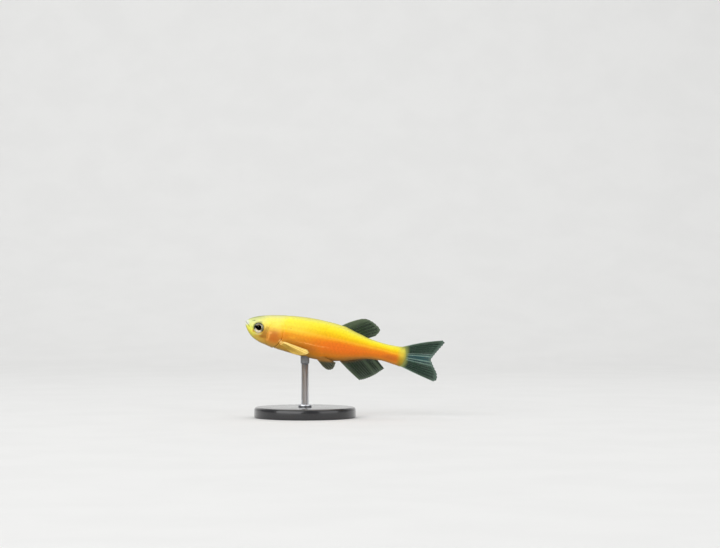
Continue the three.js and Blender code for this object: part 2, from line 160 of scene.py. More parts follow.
def belongs(obj, slot, *nodes):
    """The piece rides on the one body and stands for these nodes. The slot is not used."""
    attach(obj, "root")
    if nodes:
        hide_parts(*nodes)


acrylic, tree, shader = material(
    "black_acrylic", Base_Color=(0.012, 0.012, 0.014, 1), Coat_Weight=0.5, Coat_Roughness=0.06
)
join(shader, {"Roughness": spread(tree, noise(tree, place_on(tree), DUST, 4.0), 0.11, 0.24)})

outline = [(0, 0)]
outline += rounded(BASE_RADIUS - FOOT_EASE, FOOT_EASE, FOOT_EASE, -90, 0, 4)
outline += rounded(BASE_RADIUS - BASE_EASE, BASE_TOP - BASE_EASE, BASE_EASE, 0, 90)
outline.append((0, BASE_TOP))
base = turned("stand_base_disc", outline, BASE_SIDES)
base.data.materials.append(acrylic)
belongs(base, "stand_base", "stand_base")


# The rod is a straight bar of brushed stainless steel. Its lower end sits in a slim collar, and a short
# sleeve of grey silicone on its upper end keeps the metal off the fish's belly.
COLLAR_RADIUS = 1.35 * MM
COLLAR_HEIGHT = 0.55 * MM
COLLAR_EASE = 0.18 * MM
ROD_RADIUS = 0.75 * MM
ROD_SIDES = 64
SLEEVE_RADIUS = 0.9 * MM
SLEEVE_LENGTH = 1.3 * MM
SLEEVE_EASE = 0.1 * MM
SLEEVE_SIDES = 48
BELLY_CLEARANCE = 10.3 * MM
BELLY_Z = BASE_TOP + BELLY_CLEARANCE
SUNK_IN_BELLY = 0.25 * MM
BRUSHING = 14000.0
BRUSHING_DRAWN_OUT = 0.02  # the scale of the brushing along the rod, against that across it
SILICONE_PORES = 6000.0
PORE_DEPTH = 0.02 * MM

steel, tree, shader = material("brushed_steel", Base_Color=(0.78, 0.8, 0.84, 1), Metallic=1.0)
drawn_out = node(
    tree, "ShaderNodeMapping", {"Vector": place_on(tree), "Scale": (1.0, 1.0, BRUSHING_DRAWN_OUT)}
)
brushed = noise(tree, drawn_out.outputs["Vector"], BRUSHING, 2.0)
join(shader, {"Roughness": spread(tree, brushed, 0.28, 0.5)})

collar_top = BASE_TOP + COLLAR_HEIGHT
steel_top = BELLY_Z - SLEEVE_LENGTH / 2
outline = [(0, BASE_TOP), (COLLAR_RADIUS, BASE_TOP)]
outline += rounded(COLLAR_RADIUS - COLLAR_EASE, collar_top - COLLAR_EASE, COLLAR_EASE, 0, 90, 5)
outline += [(ROD_RADIUS, collar_top), (ROD_RADIUS, steel_top), (0, steel_top)]
rod = turned("stand_rod_and_collar", outline, ROD_SIDES)
rod.data.materials.append(steel)
belongs(rod, "stand_rod", "stand_rod")

silicone, tree, shader = material(
    "grey_silicone", Base_Color=(0.16, 0.165, 0.17, 1), Roughness=0.55, Sheen_Weight=0.2
)
pores = noise(tree, place_on(tree), SILICONE_PORES, 3.0)
join(shader, {"Normal": bumped(tree, pores, 0.15, PORE_DEPTH)})
sleeve_foot = BELLY_Z - SLEEVE_LENGTH
sleeve_top = BELLY_Z + SUNK_IN_BELLY
outline = [(0, sleeve_foot)]
outline += rounded(SLEEVE_RADIUS - SLEEVE_EASE, sleeve_foot + SLEEVE_EASE, SLEEVE_EASE, -90, 0, 4)
outline += [(SLEEVE_RADIUS, sleeve_top), (0, sleeve_top)]
sleeve = turned("stand_sleeve", outline, SLEEVE_SIDES)
sleeve.data.materials.append(silicone)
belongs(sleeve, "stand_rod")


# The body is one skin from the lips to the root of the tail fin, moist and scaleless on the head.
# Its sections are drawn from the same outline as the solids, and the features of the head, the edge
# of the gill cover and the folds at the fins are raised or sunk in its surface.
BODY_LENGTH = 34.0  # millimetres behind the snout, as all sizes of the fish below
PITCH = math.radians(12.2)
ROD_MEETS = 13.6
OUTLINE = np.array([  # distance behind the snout, height of the back, height of the belly, half width
    (0, 0.12, 0.12, 0),
    (0.35, 0.62, -0.82, 0.55),
    (1, 1.12, -1.74, 0.93),
    (2.2, 1.74, -2.76, 1.36),
    (4, 2.34, -3.46, 1.73),
    (6.4, 2.9, -3.84, 2.0),
    (9, 3.34, -4.14, 2.16),
    (13, 3.74, -4.42, 2.27),
    (17, 3.76, -4.38, 2.12),
    (20, 3.52, -3.92, 1.84),
    (23, 2.72, -2.96, 1.46),
    (26, 2.12, -2.06, 1.14),
    (29, 1.8, -1.8, 0.9),
    (32, 1.82, -2.08, 0.66),
    (34, 2.06, -2.26, 0.42),
])
WIDEST = 0.55  # the height of the widest line, as a share of the way from belly to back
HEAD_SQUARE = 2.5  # how square a section is, where 2 is an oval
BODY_SQUARE = 2.05
HEAD_SQUARE_FADES = 7.0
HEAD_END = 9.0
HEAD_RINGS = 290
HEAD_RINGS_CROWD = 1.15  # how they crowd towards the snout
BODY_RINGS = 120
SKIN_SIDES = 230
STALK_END_ROUND = 0.75  # how much further back the flesh of the tail ends at mid-height than at its edges
STALK_END_ROUNDED = 1.8  # the length over which it does
STALK_END_THINNED = 0.72  # the share of its width that the flesh loses there
STALK_END_THINS = 2.6
SCALE_DEPTH = 0.05  # the skin lies this far inside the solids, under the scales
UNWRAP_MARGIN = 0.01
SLIGHTLY, TINY = 1e-3, 1e-6


def eased(column):
    """A smooth curve through a column of the outline. It runs over the root of s, so the snout is round."""
    at = np.sqrt(OUTLINE[:, 0])
    value = OUTLINE[:, column]
    slope = np.gradient(value, np.arange(len(at))) / np.gradient(at, np.arange(len(at)))

    def curve(s):
        t = np.sqrt(np.clip(s, 0, BODY_LENGTH))
        i = np.clip(np.searchsorted(at, t, side="right") - 1, 0, len(at) - 2)
        width = at[i + 1] - at[i]
        u = (t - at[i]) / width
        ends = value[i] * (1 + 2 * u) * (1 - u) ** 2 + value[i + 1] * (3 - 2 * u) * u**2
        return ends + width * (slope[i] * u * (1 - u) ** 2 - slope[i + 1] * u**2 * (1 - u))

    return curve


back_at = eased(1)
belly_at = eased(2)
half_width_at = eased(3)


def widest_at(s):
    return belly_at(s) + WIDEST * (back_at(s) - belly_at(s))


def square_at(s):
    return BODY_SQUARE + (HEAD_SQUARE - BODY_SQUARE) * np.exp(-((s / HEAD_SQUARE_FADES) ** 2))


def level_at(s, h, least=TINY):
    """The level of a height on the body, from 0 at the belly to 1 at the back."""
    return (h - belly_at(s)) / (back_at(s) - belly_at(s) + least)


def side_at(s, h):
    """How far the side of the body stands from the mid-plane at a height."""
    middle = widest_at(s)
    reach = np.where(h > middle, back_at(s) - middle, middle - belly_at(s))
    share = np.minimum(np.abs(h - middle) / reach, 1)
    n = square_at(s)
    return half_width_at(s) * (1 - share**n) ** (1 / n)


def section_point(s, angle):
    """A point of the body's surface. The angle is 0 at the back and grows towards the fish's right."""
    n = square_at(s)
    up, out = np.cos(angle), np.sin(angle)
    middle = widest_at(s)
    reach = np.where(up > 0, back_at(s) - middle, middle - belly_at(s))
    y = np.sign(out) * np.abs(out) ** (2 / n) * half_width_at(s)
    h = middle + np.sign(up) * np.abs(up) ** (2 / n) * reach
    return np.stack(np.broadcast_arrays(s, y, h), -1)


belly_under_rod = float(belly_at(np.array(ROD_MEETS)))
SHIFT_X = -(ROD_MEETS * math.cos(PITCH) + belly_under_rod * math.sin(PITCH))
SHIFT_Z = BELLY_Z / MM - (belly_under_rod * math.cos(PITCH) - ROD_MEETS * math.sin(PITCH))


def in_part(points):
    """Points of the fish's own frame (s, y, h) in the part's frame, in metres."""
    s, y, h = np.moveaxis(np.asarray(points, float), -1, 0)
    x = s * math.cos(PITCH) + h * math.sin(PITCH) + SHIFT_X
    z = h * math.cos(PITCH) - s * math.sin(PITCH) + SHIFT_Z
    return np.stack([x, y, z], -1) * MM


def in_fish(points):
    """The other way round, from metres in the part's frame."""
    x, y, z = np.moveaxis(np.asarray(points, float) / MM, -1, 0)
    x, z = x - SHIFT_X, z - SHIFT_Z
    s = x * math.cos(PITCH) - z * math.sin(PITCH)
    h = x * math.sin(PITCH) + z * math.cos(PITCH)
    return np.stack([s, y, h], -1)


def bell(distance, width):
    return np.exp(-((distance / width) ** 2))


def rise(value, start, end):
    """0 before start, 1 past end and smooth between them. It also falls, where end is before start."""
    t = np.clip((value - start) / (end - start), 0, 1)
    return t * t * (3 - 2 * t)


def spline(knots, count):
    """Points at even spacing along a smooth curve through the knots."""
    knots = np.asarray(knots, float)
    last = len(knots) - 1
    t = np.linspace(0, last, 40 * last + 1)
    i = np.minimum(t.astype(int), last - 1)
    u = (t - i)[:, None]
    before, here = knots[np.maximum(i - 1, 0)], knots[i]
    there, after = knots[i + 1], knots[np.minimum(i + 2, last)]
    out, into = (there - before) / 2, (after - here) / 2
    dense = (
        here * (1 + 2 * u) * (1 - u) ** 2
        + there * (3 - 2 * u) * u**2
        + out * u * (1 - u) ** 2
        - into * u**2 * (1 - u)
    )
    length = np.append(0, np.cumsum(np.linalg.norm(np.diff(dense, axis=0), axis=1)))
    even = np.linspace(0, length[-1], count)
    return np.stack([np.interp(even, length, column) for column in dense.T], -1)


def from_line(s, h, line):
    """Distance from a drawn line in the side view, signed by its side, and the share of it passed there."""
    best = np.full(np.shape(s), 1e9)
    side = np.zeros(np.shape(s))
    share = np.zeros(np.shape(s))
    for k, (a, b) in enumerate(zip(line[:-1], line[1:])):
        run = b - a
        length = float(run @ run)
        t = np.clip(((s - a[0]) * run[0] + (h - a[1]) * run[1]) / length, 0, 1)
        ds, dh = s - a[0] - t * run[0], h - a[1] - t * run[1]
        distance = np.hypot(ds, dh)
        nearer = distance < best
        side = np.where(nearer, np.sign(run[0] * dh - run[1] * ds), side)
        share = np.where(nearer, (k + t) / (len(line) - 1), share)
        best = np.where(nearer, distance, best)
    return best * side, share


# The lines of the head, in the side view. Across each line lie ridges, and grooves where the height is
# below 0, each with its place, its width and its height.
MOUTH = np.array([(-0.1, 0.36), (0, 0.28), (1.25, -0.74)])
LIPS = [(0, 0.075, -0.12), (0.17, 0.1, 0.06), (-0.19, 0.12, 0.085)]
MOUTH_CORNER, MOUTH_ENDS = (1.0, 0.93), (1.75, 1.3)  # in shares of its line, and behind the snout
JAW_FOLD = spline([(1.2, -0.7), (1.45, -1.15), (1.75, -1.8), (2.35, -2.9)], 24)
JAW_FOLD_ACROSS, JAW_FOLD_ENDS = [(0.16, 0.14, 0.03), (0, 0.06, -0.06)], (1.0, 0.6)
ORBIT_BONES = spline([(2.1, -1.55), (3.0, -2.05), (4.2, -1.6), (4.75, -0.6), (4.5, 0.5)], 30)
ORBIT_ACROSS = [(0.08, 0.09, 0.025), (0, 0.05, -0.03)]
CHEEK_LINE = spline(
    [
        (7.3, 1.42),
        (6.4, 1.38),
        (5.6, 0.9),
        (5.15, 0.1),
        (4.95, -0.9),
        (4.8, -2),
        (4.95, -2.85),
        (5.4, -3.5),
    ],
    40,
)
CHEEK_ACROSS, CHEEK_STARTS = [(-0.12, 0.1, 0.035), (0, 0.055, -0.07)], (0.06, 0.2)
LOWER_PLATE_LINE = spline([(5.05, -2.75), (6.0, -2.45), (7.0, -2.15), (7.9, -1.9)], 20)
LOWER_PLATE_ACROSS, LOWER_PLATE_STARTS = [(0, 0.045, -0.04)], (0.0, 0.12)
LOWER_PLATE_ENDS = (-0.05, -0.3)  # from the edge of the gill cover

# Round forms: the jaw bone's end, the shoulder over the root of a pectoral fin, the nostrils and the eye.
JAW_BONE_END = (1.4, -0.42)
JAW_BONE_REACH, JAW_BONE_PROUD = 0.28, 0.05
SHOULDER = (8.35, -2.45)
SHOULDER_REACH = (0.567, 0.462)
SHOULDER_PROUD, SHOULDER_STARTS = 0.2, (0.0, 0.15)  # behind the gill edge
NOSTRILS = [(1.55, 0.72, 0.12), (1.89, 0.82, 0.15)]  # distance behind the snout, height, radius
NOSTRIL_RIM, NOSTRIL_RIM_WIDTH, NOSTRIL_DEPTH = 0.035, 0.07, 0.22
NOSTRIL_RIM_AT, NOSTRIL_PIT, NOSTRIL_DARK = 1.3, 0.75, 0.7  # in radii
EYE = (3.04, -0.46)
EYE_RADIUS = 1.08
ORBIT_RIM_RADIUS, ORBIT_RIM_WIDTH, ORBIT_RIM = 1.4, 0.14, 0.04
ORBIT_SLOPE, ORBIT_DEPTH = (1.3, 1.03), 0.24
SOCKET_SLOPE, SOCKET_DEPTH = (1.02, 0.8), 0.8

# The gill cover. In a pair, a form is nothing at the first value and whole at the second.
GILL_CENTRE = (3.9, -0.6)
GILL_RADIUS = 4.3
COVER_TOP, COVER_FOOT = (38, 20), (-82, -50)  # degrees above straight back
COVER_EDGE_STARTS, COVER_SWELLS = (4.5, 5.4), (4.6, 6.4)
COVER_LOWER_PART = (-0.2, -1.9)
COVER_PROUD = 0.13
COVER_PROUD_ABOVE = 0.4  # the share of it that the upper part keeps
COVER_STEP = (0.03, -0.05)  # before and behind the edge
COVER_STEP_SOFTER = 0.4  # wider in the upper part
SLIT_PLACE, SLIT_WIDTH, SLIT_DEPTH, SLIT_DEPTH_ABOVE = 0.08, 0.06, 0.15, 0.02
SLIT_LIP_PLACE, SLIT_LIP_WIDTH, SLIT_LIP = 0.34, 0.18, 0.04
STAYS, FIRST_STAY, STAY_APART, STAY_WIDTH, STAY_DEPTH = 3, 0.55, 0.3, 0.05, 0.022
STAYS_START = (3.6, 4.6)

# The throat's seam, the folds at the roots of the fins and the groove between the muscles of the flank.
UNDERSIDE = (0.3, 0.05)  # levels
SEAM_STARTS, SEAM_ENDS, SEAM_WIDTH, SEAM_DEPTH = (1.2, 2.2), (7.4, 6.4), 0.1, 0.05
FIN_FOLDS = [((19.6, 20.6), (25.2, 24), 1), ((20.8, 21.8), (29.3, 28.2), -1)]  # start, end, up or down
FIN_FOLD_WIDTH, FIN_FOLD_PROUD = 0.3, 0.1
FLANK_STARTS, FLANK_ENDS = (9, 12), (33.5, 31)
FLANK_LEVEL, FLANK_WIDTH, FLANK_DEPTH = 0.58, 0.05, 0.025
UNDER_SCALES = (HEAD_END - 1.2, HEAD_END - 0.4)
SNOUT_TIP = (0.0, 0.12)

# How dark the painted shade in the creases of the head is, and how wide.
MOUTH_DARK, MOUTH_DARK_WIDTH = 0.8, 0.06
SLIT_DARK, SLIT_DARK_PLACE, SLIT_DARK_WIDTH = 0.5, 0.07, 0.05
SLIT_DARK_TOP, SLIT_DARK_FOOT = (-5, -32), (-70, -50)
LEVELS_TOLD = (-0.1, 1.1)


def across_line(distance, forms):
    return sum(height * bell(distance - place, width) for place, width, height in forms)


def mouth_line(s, h):
    """Distance over the line of the mouth, and how far the mouth is open there, from 0 to 1."""
    over, passed = from_line(s, h, MOUTH)
    return over, rise(passed, *MOUTH_CORNER) * rise(s, *MOUTH_ENDS)


def gill_edge(s, h):
    """Distance behind the edge of the gill cover, and the way there from its middle, in degrees."""
    ds, dh = s - GILL_CENTRE[0], h - GILL_CENTRE[1]
    return np.hypot(ds, dh) - GILL_RADIUS, np.degrees(np.arctan2(dh, ds))


def mouth_and_jaw(s, h):
    over, mouth = mouth_line(s, h)
    bone = np.hypot(s - JAW_BONE_END[0], h - JAW_BONE_END[1])
    fold, passed = from_line(s, h, JAW_FOLD)
    out = across_line(over, LIPS) * mouth + JAW_BONE_PROUD * bell(bone, JAW_BONE_REACH)
    return out + across_line(fold, JAW_FOLD_ACROSS) * rise(passed, *JAW_FOLD_ENDS)


def nostrils_and_orbit(s, h):
    from_eye = np.hypot(s - EYE[0], h - EYE[1])
    out = ORBIT_RIM * bell(from_eye - ORBIT_RIM_RADIUS, ORBIT_RIM_WIDTH)
    out -= ORBIT_DEPTH * rise(from_eye, *ORBIT_SLOPE) + SOCKET_DEPTH * rise(from_eye, *SOCKET_SLOPE)
    for front, height, radius in NOSTRILS:
        away = np.hypot(s - front, h - height)
        out += NOSTRIL_RIM * bell(away - radius * NOSTRIL_RIM_AT, NOSTRIL_RIM_WIDTH)
        out -= NOSTRIL_DEPTH * bell(away, radius * NOSTRIL_PIT)
    bones, passed = from_line(s, h, ORBIT_BONES)
    return out + across_line(bones, ORBIT_ACROSS)


def gill_cover(s, h, under):
    from_edge, turn = gill_edge(s, h)
    edge = rise(turn, *COVER_TOP) * rise(turn, *COVER_FOOT) * rise(s, *COVER_EDGE_STARTS)
    lower = rise(h, *COVER_LOWER_PART)
    proud = COVER_PROUD * (COVER_PROUD_ABOVE + (1 - COVER_PROUD_ABOVE) * lower)
    step = rise(from_edge, COVER_STEP[0], COVER_STEP[1] - COVER_STEP_SOFTER * (1 - lower))
    slit = SLIT_DEPTH_ABOVE + (SLIT_DEPTH - SLIT_DEPTH_ABOVE) * lower
    out = proud * step * edge * rise(s, *COVER_SWELLS)
    out -= slit * bell(from_edge - SLIT_PLACE, SLIT_WIDTH) * edge
    out += SLIT_LIP * bell(from_edge - SLIT_LIP_PLACE, SLIT_LIP_WIDTH) * edge
    cheek, passed = from_line(s, h, CHEEK_LINE)
    out += across_line(cheek, CHEEK_ACROSS) * rise(passed, *CHEEK_STARTS)
    plate, passed = from_line(s, h, LOWER_PLATE_LINE)
    plate_shown = rise(passed, *LOWER_PLATE_STARTS) * rise(from_edge, *LOWER_PLATE_ENDS)
    out += across_line(plate, LOWER_PLATE_ACROSS) * plate_shown
    for k in range(STAYS):
        stay = from_edge + FIRST_STAY + STAY_APART * k
        out -= STAY_DEPTH * bell(stay, STAY_WIDTH) * under * rise(s, *STAYS_START)
    shoulder = np.hypot((s - SHOULDER[0]) / SHOULDER_REACH[0], (h - SHOULDER[1]) / SHOULDER_REACH[1])
    return out + SHOULDER_PROUD * bell(shoulder, 1) * rise(from_edge, *SHOULDER_STARTS)


def relief(s, y, h):
    """How far the skin stands out of, or sinks below, the plain outline of the body."""
    level = level_at(s, h)
    under = rise(level, *UNDERSIDE)
    out = mouth_and_jaw(s, h) + nostrils_and_orbit(s, h) + gill_cover(s, h, under)
    out -= SEAM_DEPTH * bell(y, SEAM_WIDTH) * under * rise(s, *SEAM_STARTS) * rise(s, *SEAM_ENDS)
    for start, end, way in FIN_FOLDS:
        fold = bell(y, FIN_FOLD_WIDTH) * rise(s, *start) * rise(s, *end)
        out += FIN_FOLD_PROUD * fold * rise(h, 0, way)
    flank = bell(level - FLANK_LEVEL, FLANK_WIDTH)
    out -= FLANK_DEPTH * flank * rise(s, *FLANK_STARTS) * rise(s, *FLANK_ENDS)
    out -= SCALE_DEPTH * rise(s, *UNDER_SCALES)
    return out * rise(s, *SNOUT_TIP)


def creases(s, h):
    """How deep in a crease a point of the head lies, from 0 to 1, as painted shade: the mouth, the nostrils,
    the gill slit.
    """
    over, mouth = mouth_line(s, h)
    deep = MOUTH_DARK * bell(over, MOUTH_DARK_WIDTH) * mouth
    for front, height, radius in NOSTRILS:
        deep = np.maximum(deep, bell(np.hypot(s - front, h - height), radius * NOSTRIL_DARK))
    from_edge, turn = gill_edge(s, h)
    slit = SLIT_DARK * bell(from_edge - SLIT_DARK_PLACE, SLIT_DARK_WIDTH)
    slit = slit * rise(turn, *SLIT_DARK_TOP) * rise(turn, *SLIT_DARK_FOOT)
    return np.maximum(deep, slit)


def square_off(points, first, second):
    """The way off the body at each point, square to two ways along its surface."""
    normal = np.cross(first, second)
    middle = points * (1, 0, 0)
    middle[..., 2] = widest_at(points[..., 0])
    return normal * np.sign(np.sum(normal * (points - middle), -1, keepdims=True))


def skin_points(rings):
    """The plain sections, raised or sunk square to their surface, with the end of the flesh rounded."""
    s, angle = np.meshgrid(rings, around(SKIN_SIDES), indexing="ij")
    plain = section_point(s, angle)
    looped = np.concatenate([plain[:, -1:], plain, plain[:, :1]], axis=1)
    normal = square_off(plain, np.gradient(plain, axis=0), (looped[:, 2:] - looped[:, :-2]) / 2)
    normal /= np.linalg.norm(normal, axis=-1, keepdims=True) + 1e-9
    shaped = plain + normal * relief(*np.moveaxis(plain, -1, 0))[..., None]
    off_middle = 2 * level_at(s, plain[..., 2]) - 1
    shaped[..., 0] -= (
        STALK_END_ROUND * rise(s, BODY_LENGTH - STALK_END_ROUNDED, BODY_LENGTH) * off_middle**2
    )
    shaped[..., 1] *= 1 - STALK_END_THINNED * rise(s, BODY_LENGTH - STALK_END_THINS, BODY_LENGTH)
    return shaped.reshape(-1, 3)


def on_unwrap(s, turn):
    """The unwrap of the body: its length runs across the map, and its girth, in whole turns, up it."""
    room = 1 - 2 * UNWRAP_MARGIN
    return np.stack([UNWRAP_MARGIN + room * s / BODY_LENGTH, UNWRAP_MARGIN + room * turn], -1)


def unwrap(mesh, rings):
    along = np.concatenate([[0], np.repeat(rings, SKIN_SIDES), [BODY_LENGTH]])
    corner = np.zeros(len(mesh.loops), int)
    mesh.loops.foreach_get("vertex_index", corner)
    turn = np.where(corner > 0, (corner - 1) % SKIN_SIDES, 0) / SKIN_SIDES
    start = np.zeros(len(mesh.polygons), int)
    size = np.zeros(len(mesh.polygons), int)
    mesh.polygons.foreach_get("loop_start", start)
    mesh.polygons.foreach_get("loop_total", size)
    highest = np.repeat(np.maximum.reduceat(turn, start), size)
    turn = np.where((highest > 0.75) & (turn < 0.25), turn + 1, turn)
    places = on_unwrap(along[corner], turn)
    mesh.uv_layers.new(name="OFBake").data.foreach_set("uv", places.ravel())


def point_values(mesh, name, values):
    """Stores a number, or a vector, for every point of a mesh."""
    values = np.asarray(values, np.float32)
    kind, key = ("FLOAT", "value") if values.ndim == 1 else ("FLOAT_VECTOR", "vector")
    mesh.attributes.new(name, kind, "POINT").data.foreach_set(key, values.ravel())


def marked(obj):
    """Gives every point its distance behind the snout, its level, its height and its crease, the mask of the
    painted crease shade.
    """
    co = np.zeros(len(obj.data.vertices) * 3)
    obj.data.vertices.foreach_get("co", co)
    s, _, h = np.moveaxis(in_fish(co.reshape(-1, 3)), -1, 0)
    level = np.clip(level_at(s, h, SLIGHTLY), *LEVELS_TOLD)
    for name, values in (("along", s), ("level", level), ("height", h), ("crease", creases(s, h))):
        point_values(obj.data, name, values)


head_rings = HEAD_END * (np.arange(1, HEAD_RINGS + 1) / HEAD_RINGS) ** HEAD_RINGS_CROWD
body_rings = HEAD_END + (BODY_LENGTH - HEAD_END) * np.arange(1, BODY_RINGS + 1) / BODY_RINGS
rings = np.concatenate([head_rings, body_rings])
snout_point = (0.0, 0.0, OUTLINE[0, 1])
flesh_end = (BODY_LENGTH + 0.02, 0.0, float(widest_at(np.array(BODY_LENGTH))))
skin = mesh_object(
    "body_skin",
    in_part(np.concatenate([[snout_point], skin_points(rings), [flesh_end]])),
    turned_over(ring_faces(len(rings), SKIN_SIDES)),
)
unwrap(skin.data, rings)
marked(skin)
belongs(
    skin, "skin", "head", "lower_jaw", "trunk", "tail_stalk", "gill_cover_left", "gill_cover_right"
)


# The markings of the yellow-orange form: a lemon back, an orange flank under a light stripe, a rusty
# cheek, a pale green-white snout and crown, and an olive root of the tail. One colour tree paints the
# skin and the scales alike, from how far back and how high on the body a point lies.
def linear(code):
    """A colour written as six hexadecimal digits, as a shader's red, green, blue and alpha."""
    shares = [int(code[i : i + 2], 16) / 255 for i in (0, 2, 4)]
    return [c / 12.92 if c < 0.04045 else ((c + 0.055) / 1.055) ** 2.4 for c in shares] + [1.0]


def ramp(tree, factor, stops):
    """Colours, or plain shares from 0 to 1, along a factor. Each stop is its place and its colour."""
    made = node(tree, "ShaderNodeValToRGB", {"Fac": factor})
    made.color_ramp.interpolation = "EASE"
    elements = made.color_ramp.elements
    while len(elements) < len(stops):
        elements.new(0.5)
    for element, (position, colour) in zip(elements, sorted(stops, key=lambda stop: stop[0])):
        element.position = position
        element.color = linear(colour) if isinstance(colour, str) else (colour,) * 3 + (1,)
    return made.outputs["Color"]


def blended(tree, factor, below, above, mode="MIX"):
    below, above = (linear(value) if isinstance(value, str) else value for value in (below, above))
    inputs = {0: factor, 6: below, 7: above}
    return node(tree, "ShaderNodeMix", inputs, data_type="RGBA", blend_type=mode).outputs[2]


def sums(tree, operation, *values):
    return node(tree, "ShaderNodeMath", dict(enumerate(values)), operation=operation).outputs[0]


def times(tree, first, second):
    return sums(tree, "MULTIPLY", first, second)


def off(tree, value, middle):
    """How far a value is from a middle."""
    return sums(tree, "ABSOLUTE", sums(tree, "SUBTRACT", value, middle))


def stirred(tree, value, pattern, amount):
    """A value moved up and down by a pattern of shares from 0 to 1."""
    return sums(tree, "ADD", value, times(tree, sums(tree, "SUBTRACT", pattern, 0.5), amount))


def carried(tree, name):
    """The value that the points of a mesh carry under a name."""
    return node(tree, "ShaderNodeAttribute", attribute_name=name).outputs["Fac"]


def smooth(tree, value, start, end, most=1.0):
    """0 before start, most past end and smooth between them. It also falls, where end is before start."""
    made = node(
        tree,
        "ShaderNodeMapRange",
        {"Value": value, "From Min": start, "From Max": end, "To Max": most},
        interpolation_type="SMOOTHSTEP",
    )
    return made.outputs["Result"]


def spot(tree, along, height, centre, radii, softness):
    """A soft oval patch in the side view, 1 at its middle."""
    squares = []
    for value, middle, reach in zip((along, height), centre, radii):
        away = sums(tree, "DIVIDE", sums(tree, "SUBTRACT", value, middle), reach)
        squares.append(sums(tree, "POWER", away, 2.0))
    return smooth(tree, sums(tree, "SQRT", sums(tree, "ADD", *squares)), 1.0, 1.0 - softness)


BODY_COLOURS = [  # level from belly to back
    (0.0, "A8763A"),
    (0.06, "B87A34"),
    (0.14, "D07A1C"),
    (0.24, "DA7410"),
    (0.36, "EA7C10"),
    (0.48, "EE860A"),
    (0.54, "F3980E"),
    (0.585, "FCB022"),
    (0.62, "FDBA24"),
    (0.655, "F5B80C"),
    (0.7, "F6C410"),
    (0.78, "FBDC1C"),
    (0.88, "FBEC38"),
    (0.95, "EFE658"),
    (1.0, "DAD264"),
]
SHOULDER_COLOURS = [
    (0.0, "A8843A"),
    (0.08, "C09238"),
    (0.18, "C48A2A"),
    (0.3, "C67E1A"),
    (0.4, "DC8A18"),
    (0.5, "EF9C12"),
    (0.57, "FABC24"),
    (0.62, "FED238"),
    (0.68, "F9D630"),
    (0.78, "FAE43C"),
    (0.88, "FAEE48"),
    (0.95, "EAE660"),
    (1.0, "D6CE68"),
]
HEAD_COLOURS = [
    (0.0, "A8843C"),
    (0.12, "BE8A34"),
    (0.25, "C88426"),
    (0.36, "D48C2A"),
    (0.45, "E2A238"),
    (0.55, "EEBE42"),
    (0.65, "FADC4C"),
    (0.75, "FEE858"),
    (0.86, "FAEE70"),
    (0.95, "E4E082"),
    (1.0, "C4C07C"),
]
SNOUT_COLOURS = [
    (0.0, "A39A44"),
    (0.12, "C8BC4A"),
    (0.25, "E6DE50"),
    (0.38, "EAEC62"),
    (0.5, "E2E57A"),
    (0.65, "E4E890"),
    (0.8, "E2E89C"),
    (0.9, "D2D88E"),
    (1.0, "A6AC6C"),
]
COLOURINGS = [  # where each takes over from the one in front of it
    (1.8, 5.4, HEAD_COLOURS),
    (6.6, 9.2, SHOULDER_COLOURS),
    (10.5, 17.5, BODY_COLOURS),
]
CLOUDS = 420.0
CLOUD_STIR = 0.07  # how far the clouds move the level at which a colour shows
# Patches of their own colour, some of them painted light: the middle, how far it reaches, how soft its edge
# is, its strength, its colour.
PATCHES_AND_PAINTED_LIGHT = [
    ((6.5, -1.75), (1.9, 1.9), 0.75, 0.75, "C46816"),
    ((8.3, -0.9), (1.6, 1.0), 0.8, 0.6, "E48A14"),
    # A painted highlight on the flank behind the gill cover.
    ((10.3, -1.0), (1.3, 0.4), 0.9, 0.55, "FFB026"),
    ((3.6, -2.1), (1.5, 0.9), 0.8, 0.45, "B4842A"),
    ((4.1, -2.05), (1.15, 0.5), 0.9, 0.85, "925808"),
    ((4.8, -0.35), (0.6, 1.0), 0.9, 0.6, "B8982C"),
    ((4.35, -1.35), (0.85, 1.35), 0.75, 0.75, "A06A1C"),
    ((5.45, -1.7), (0.3, 1.2), 0.8, 0.6, "F2AC4A"),
    ((5.6, -1.0), (0.5, 0.4), 0.9, 0.6, "F8B458"),
    ((5.25, -2.5), (0.45, 0.45), 0.9, 0.55, "E8A244"),
    ((3.0, -1.75), (1.1, 0.28), 0.8, 0.7, "D6C08E"),
    ((2.75, -2.4), (0.75, 0.42), 0.9, 0.5, "CE9A4A"),
    ((3.75, -2.95), (0.95, 0.42), 0.9, 0.5, "CE9A4A"),
    ((2.05, -1.35), (0.32, 0.45), 0.8, 0.5, "E08A50"),
    ((3.2, 0.78), (0.6, 0.26), 0.9, 0.4, "8C8C6C"),
    # Painted highlights on the lower rear edge of the gill cover and on the shoulder over the pectoral fin's
    # root.
    ((7.95, -2.3), (0.42, 0.6), 0.8, 0.85, "FFCE7A"),
    ((8.45, -2.42), (0.6, 0.34), 0.8, 0.75, "F6D478"),
    ((9.6, 0.78), (0.17, 0.17), 0.8, 0.6, "A87C20"),
    # A painted shadow on the flank above the root of the pectoral fin.
    ((9.6, -1.95), (1.2, 0.4), 0.9, 0.5, "B47E18"),
    ((20.5, -0.9), (7.5, 1.9), 0.8, 0.6, "EE6E14"),
    ((31.0, -0.8), (2.6, 0.9), 0.8, 0.6, "B4601A"),
    ((13.0, -2.6), (4.2, 1.1), 0.8, 0.5, "B66618"),
    ((0.3, 0.12), (0.95, 0.85), 0.7, 0.95, "E4E6DC"),
]
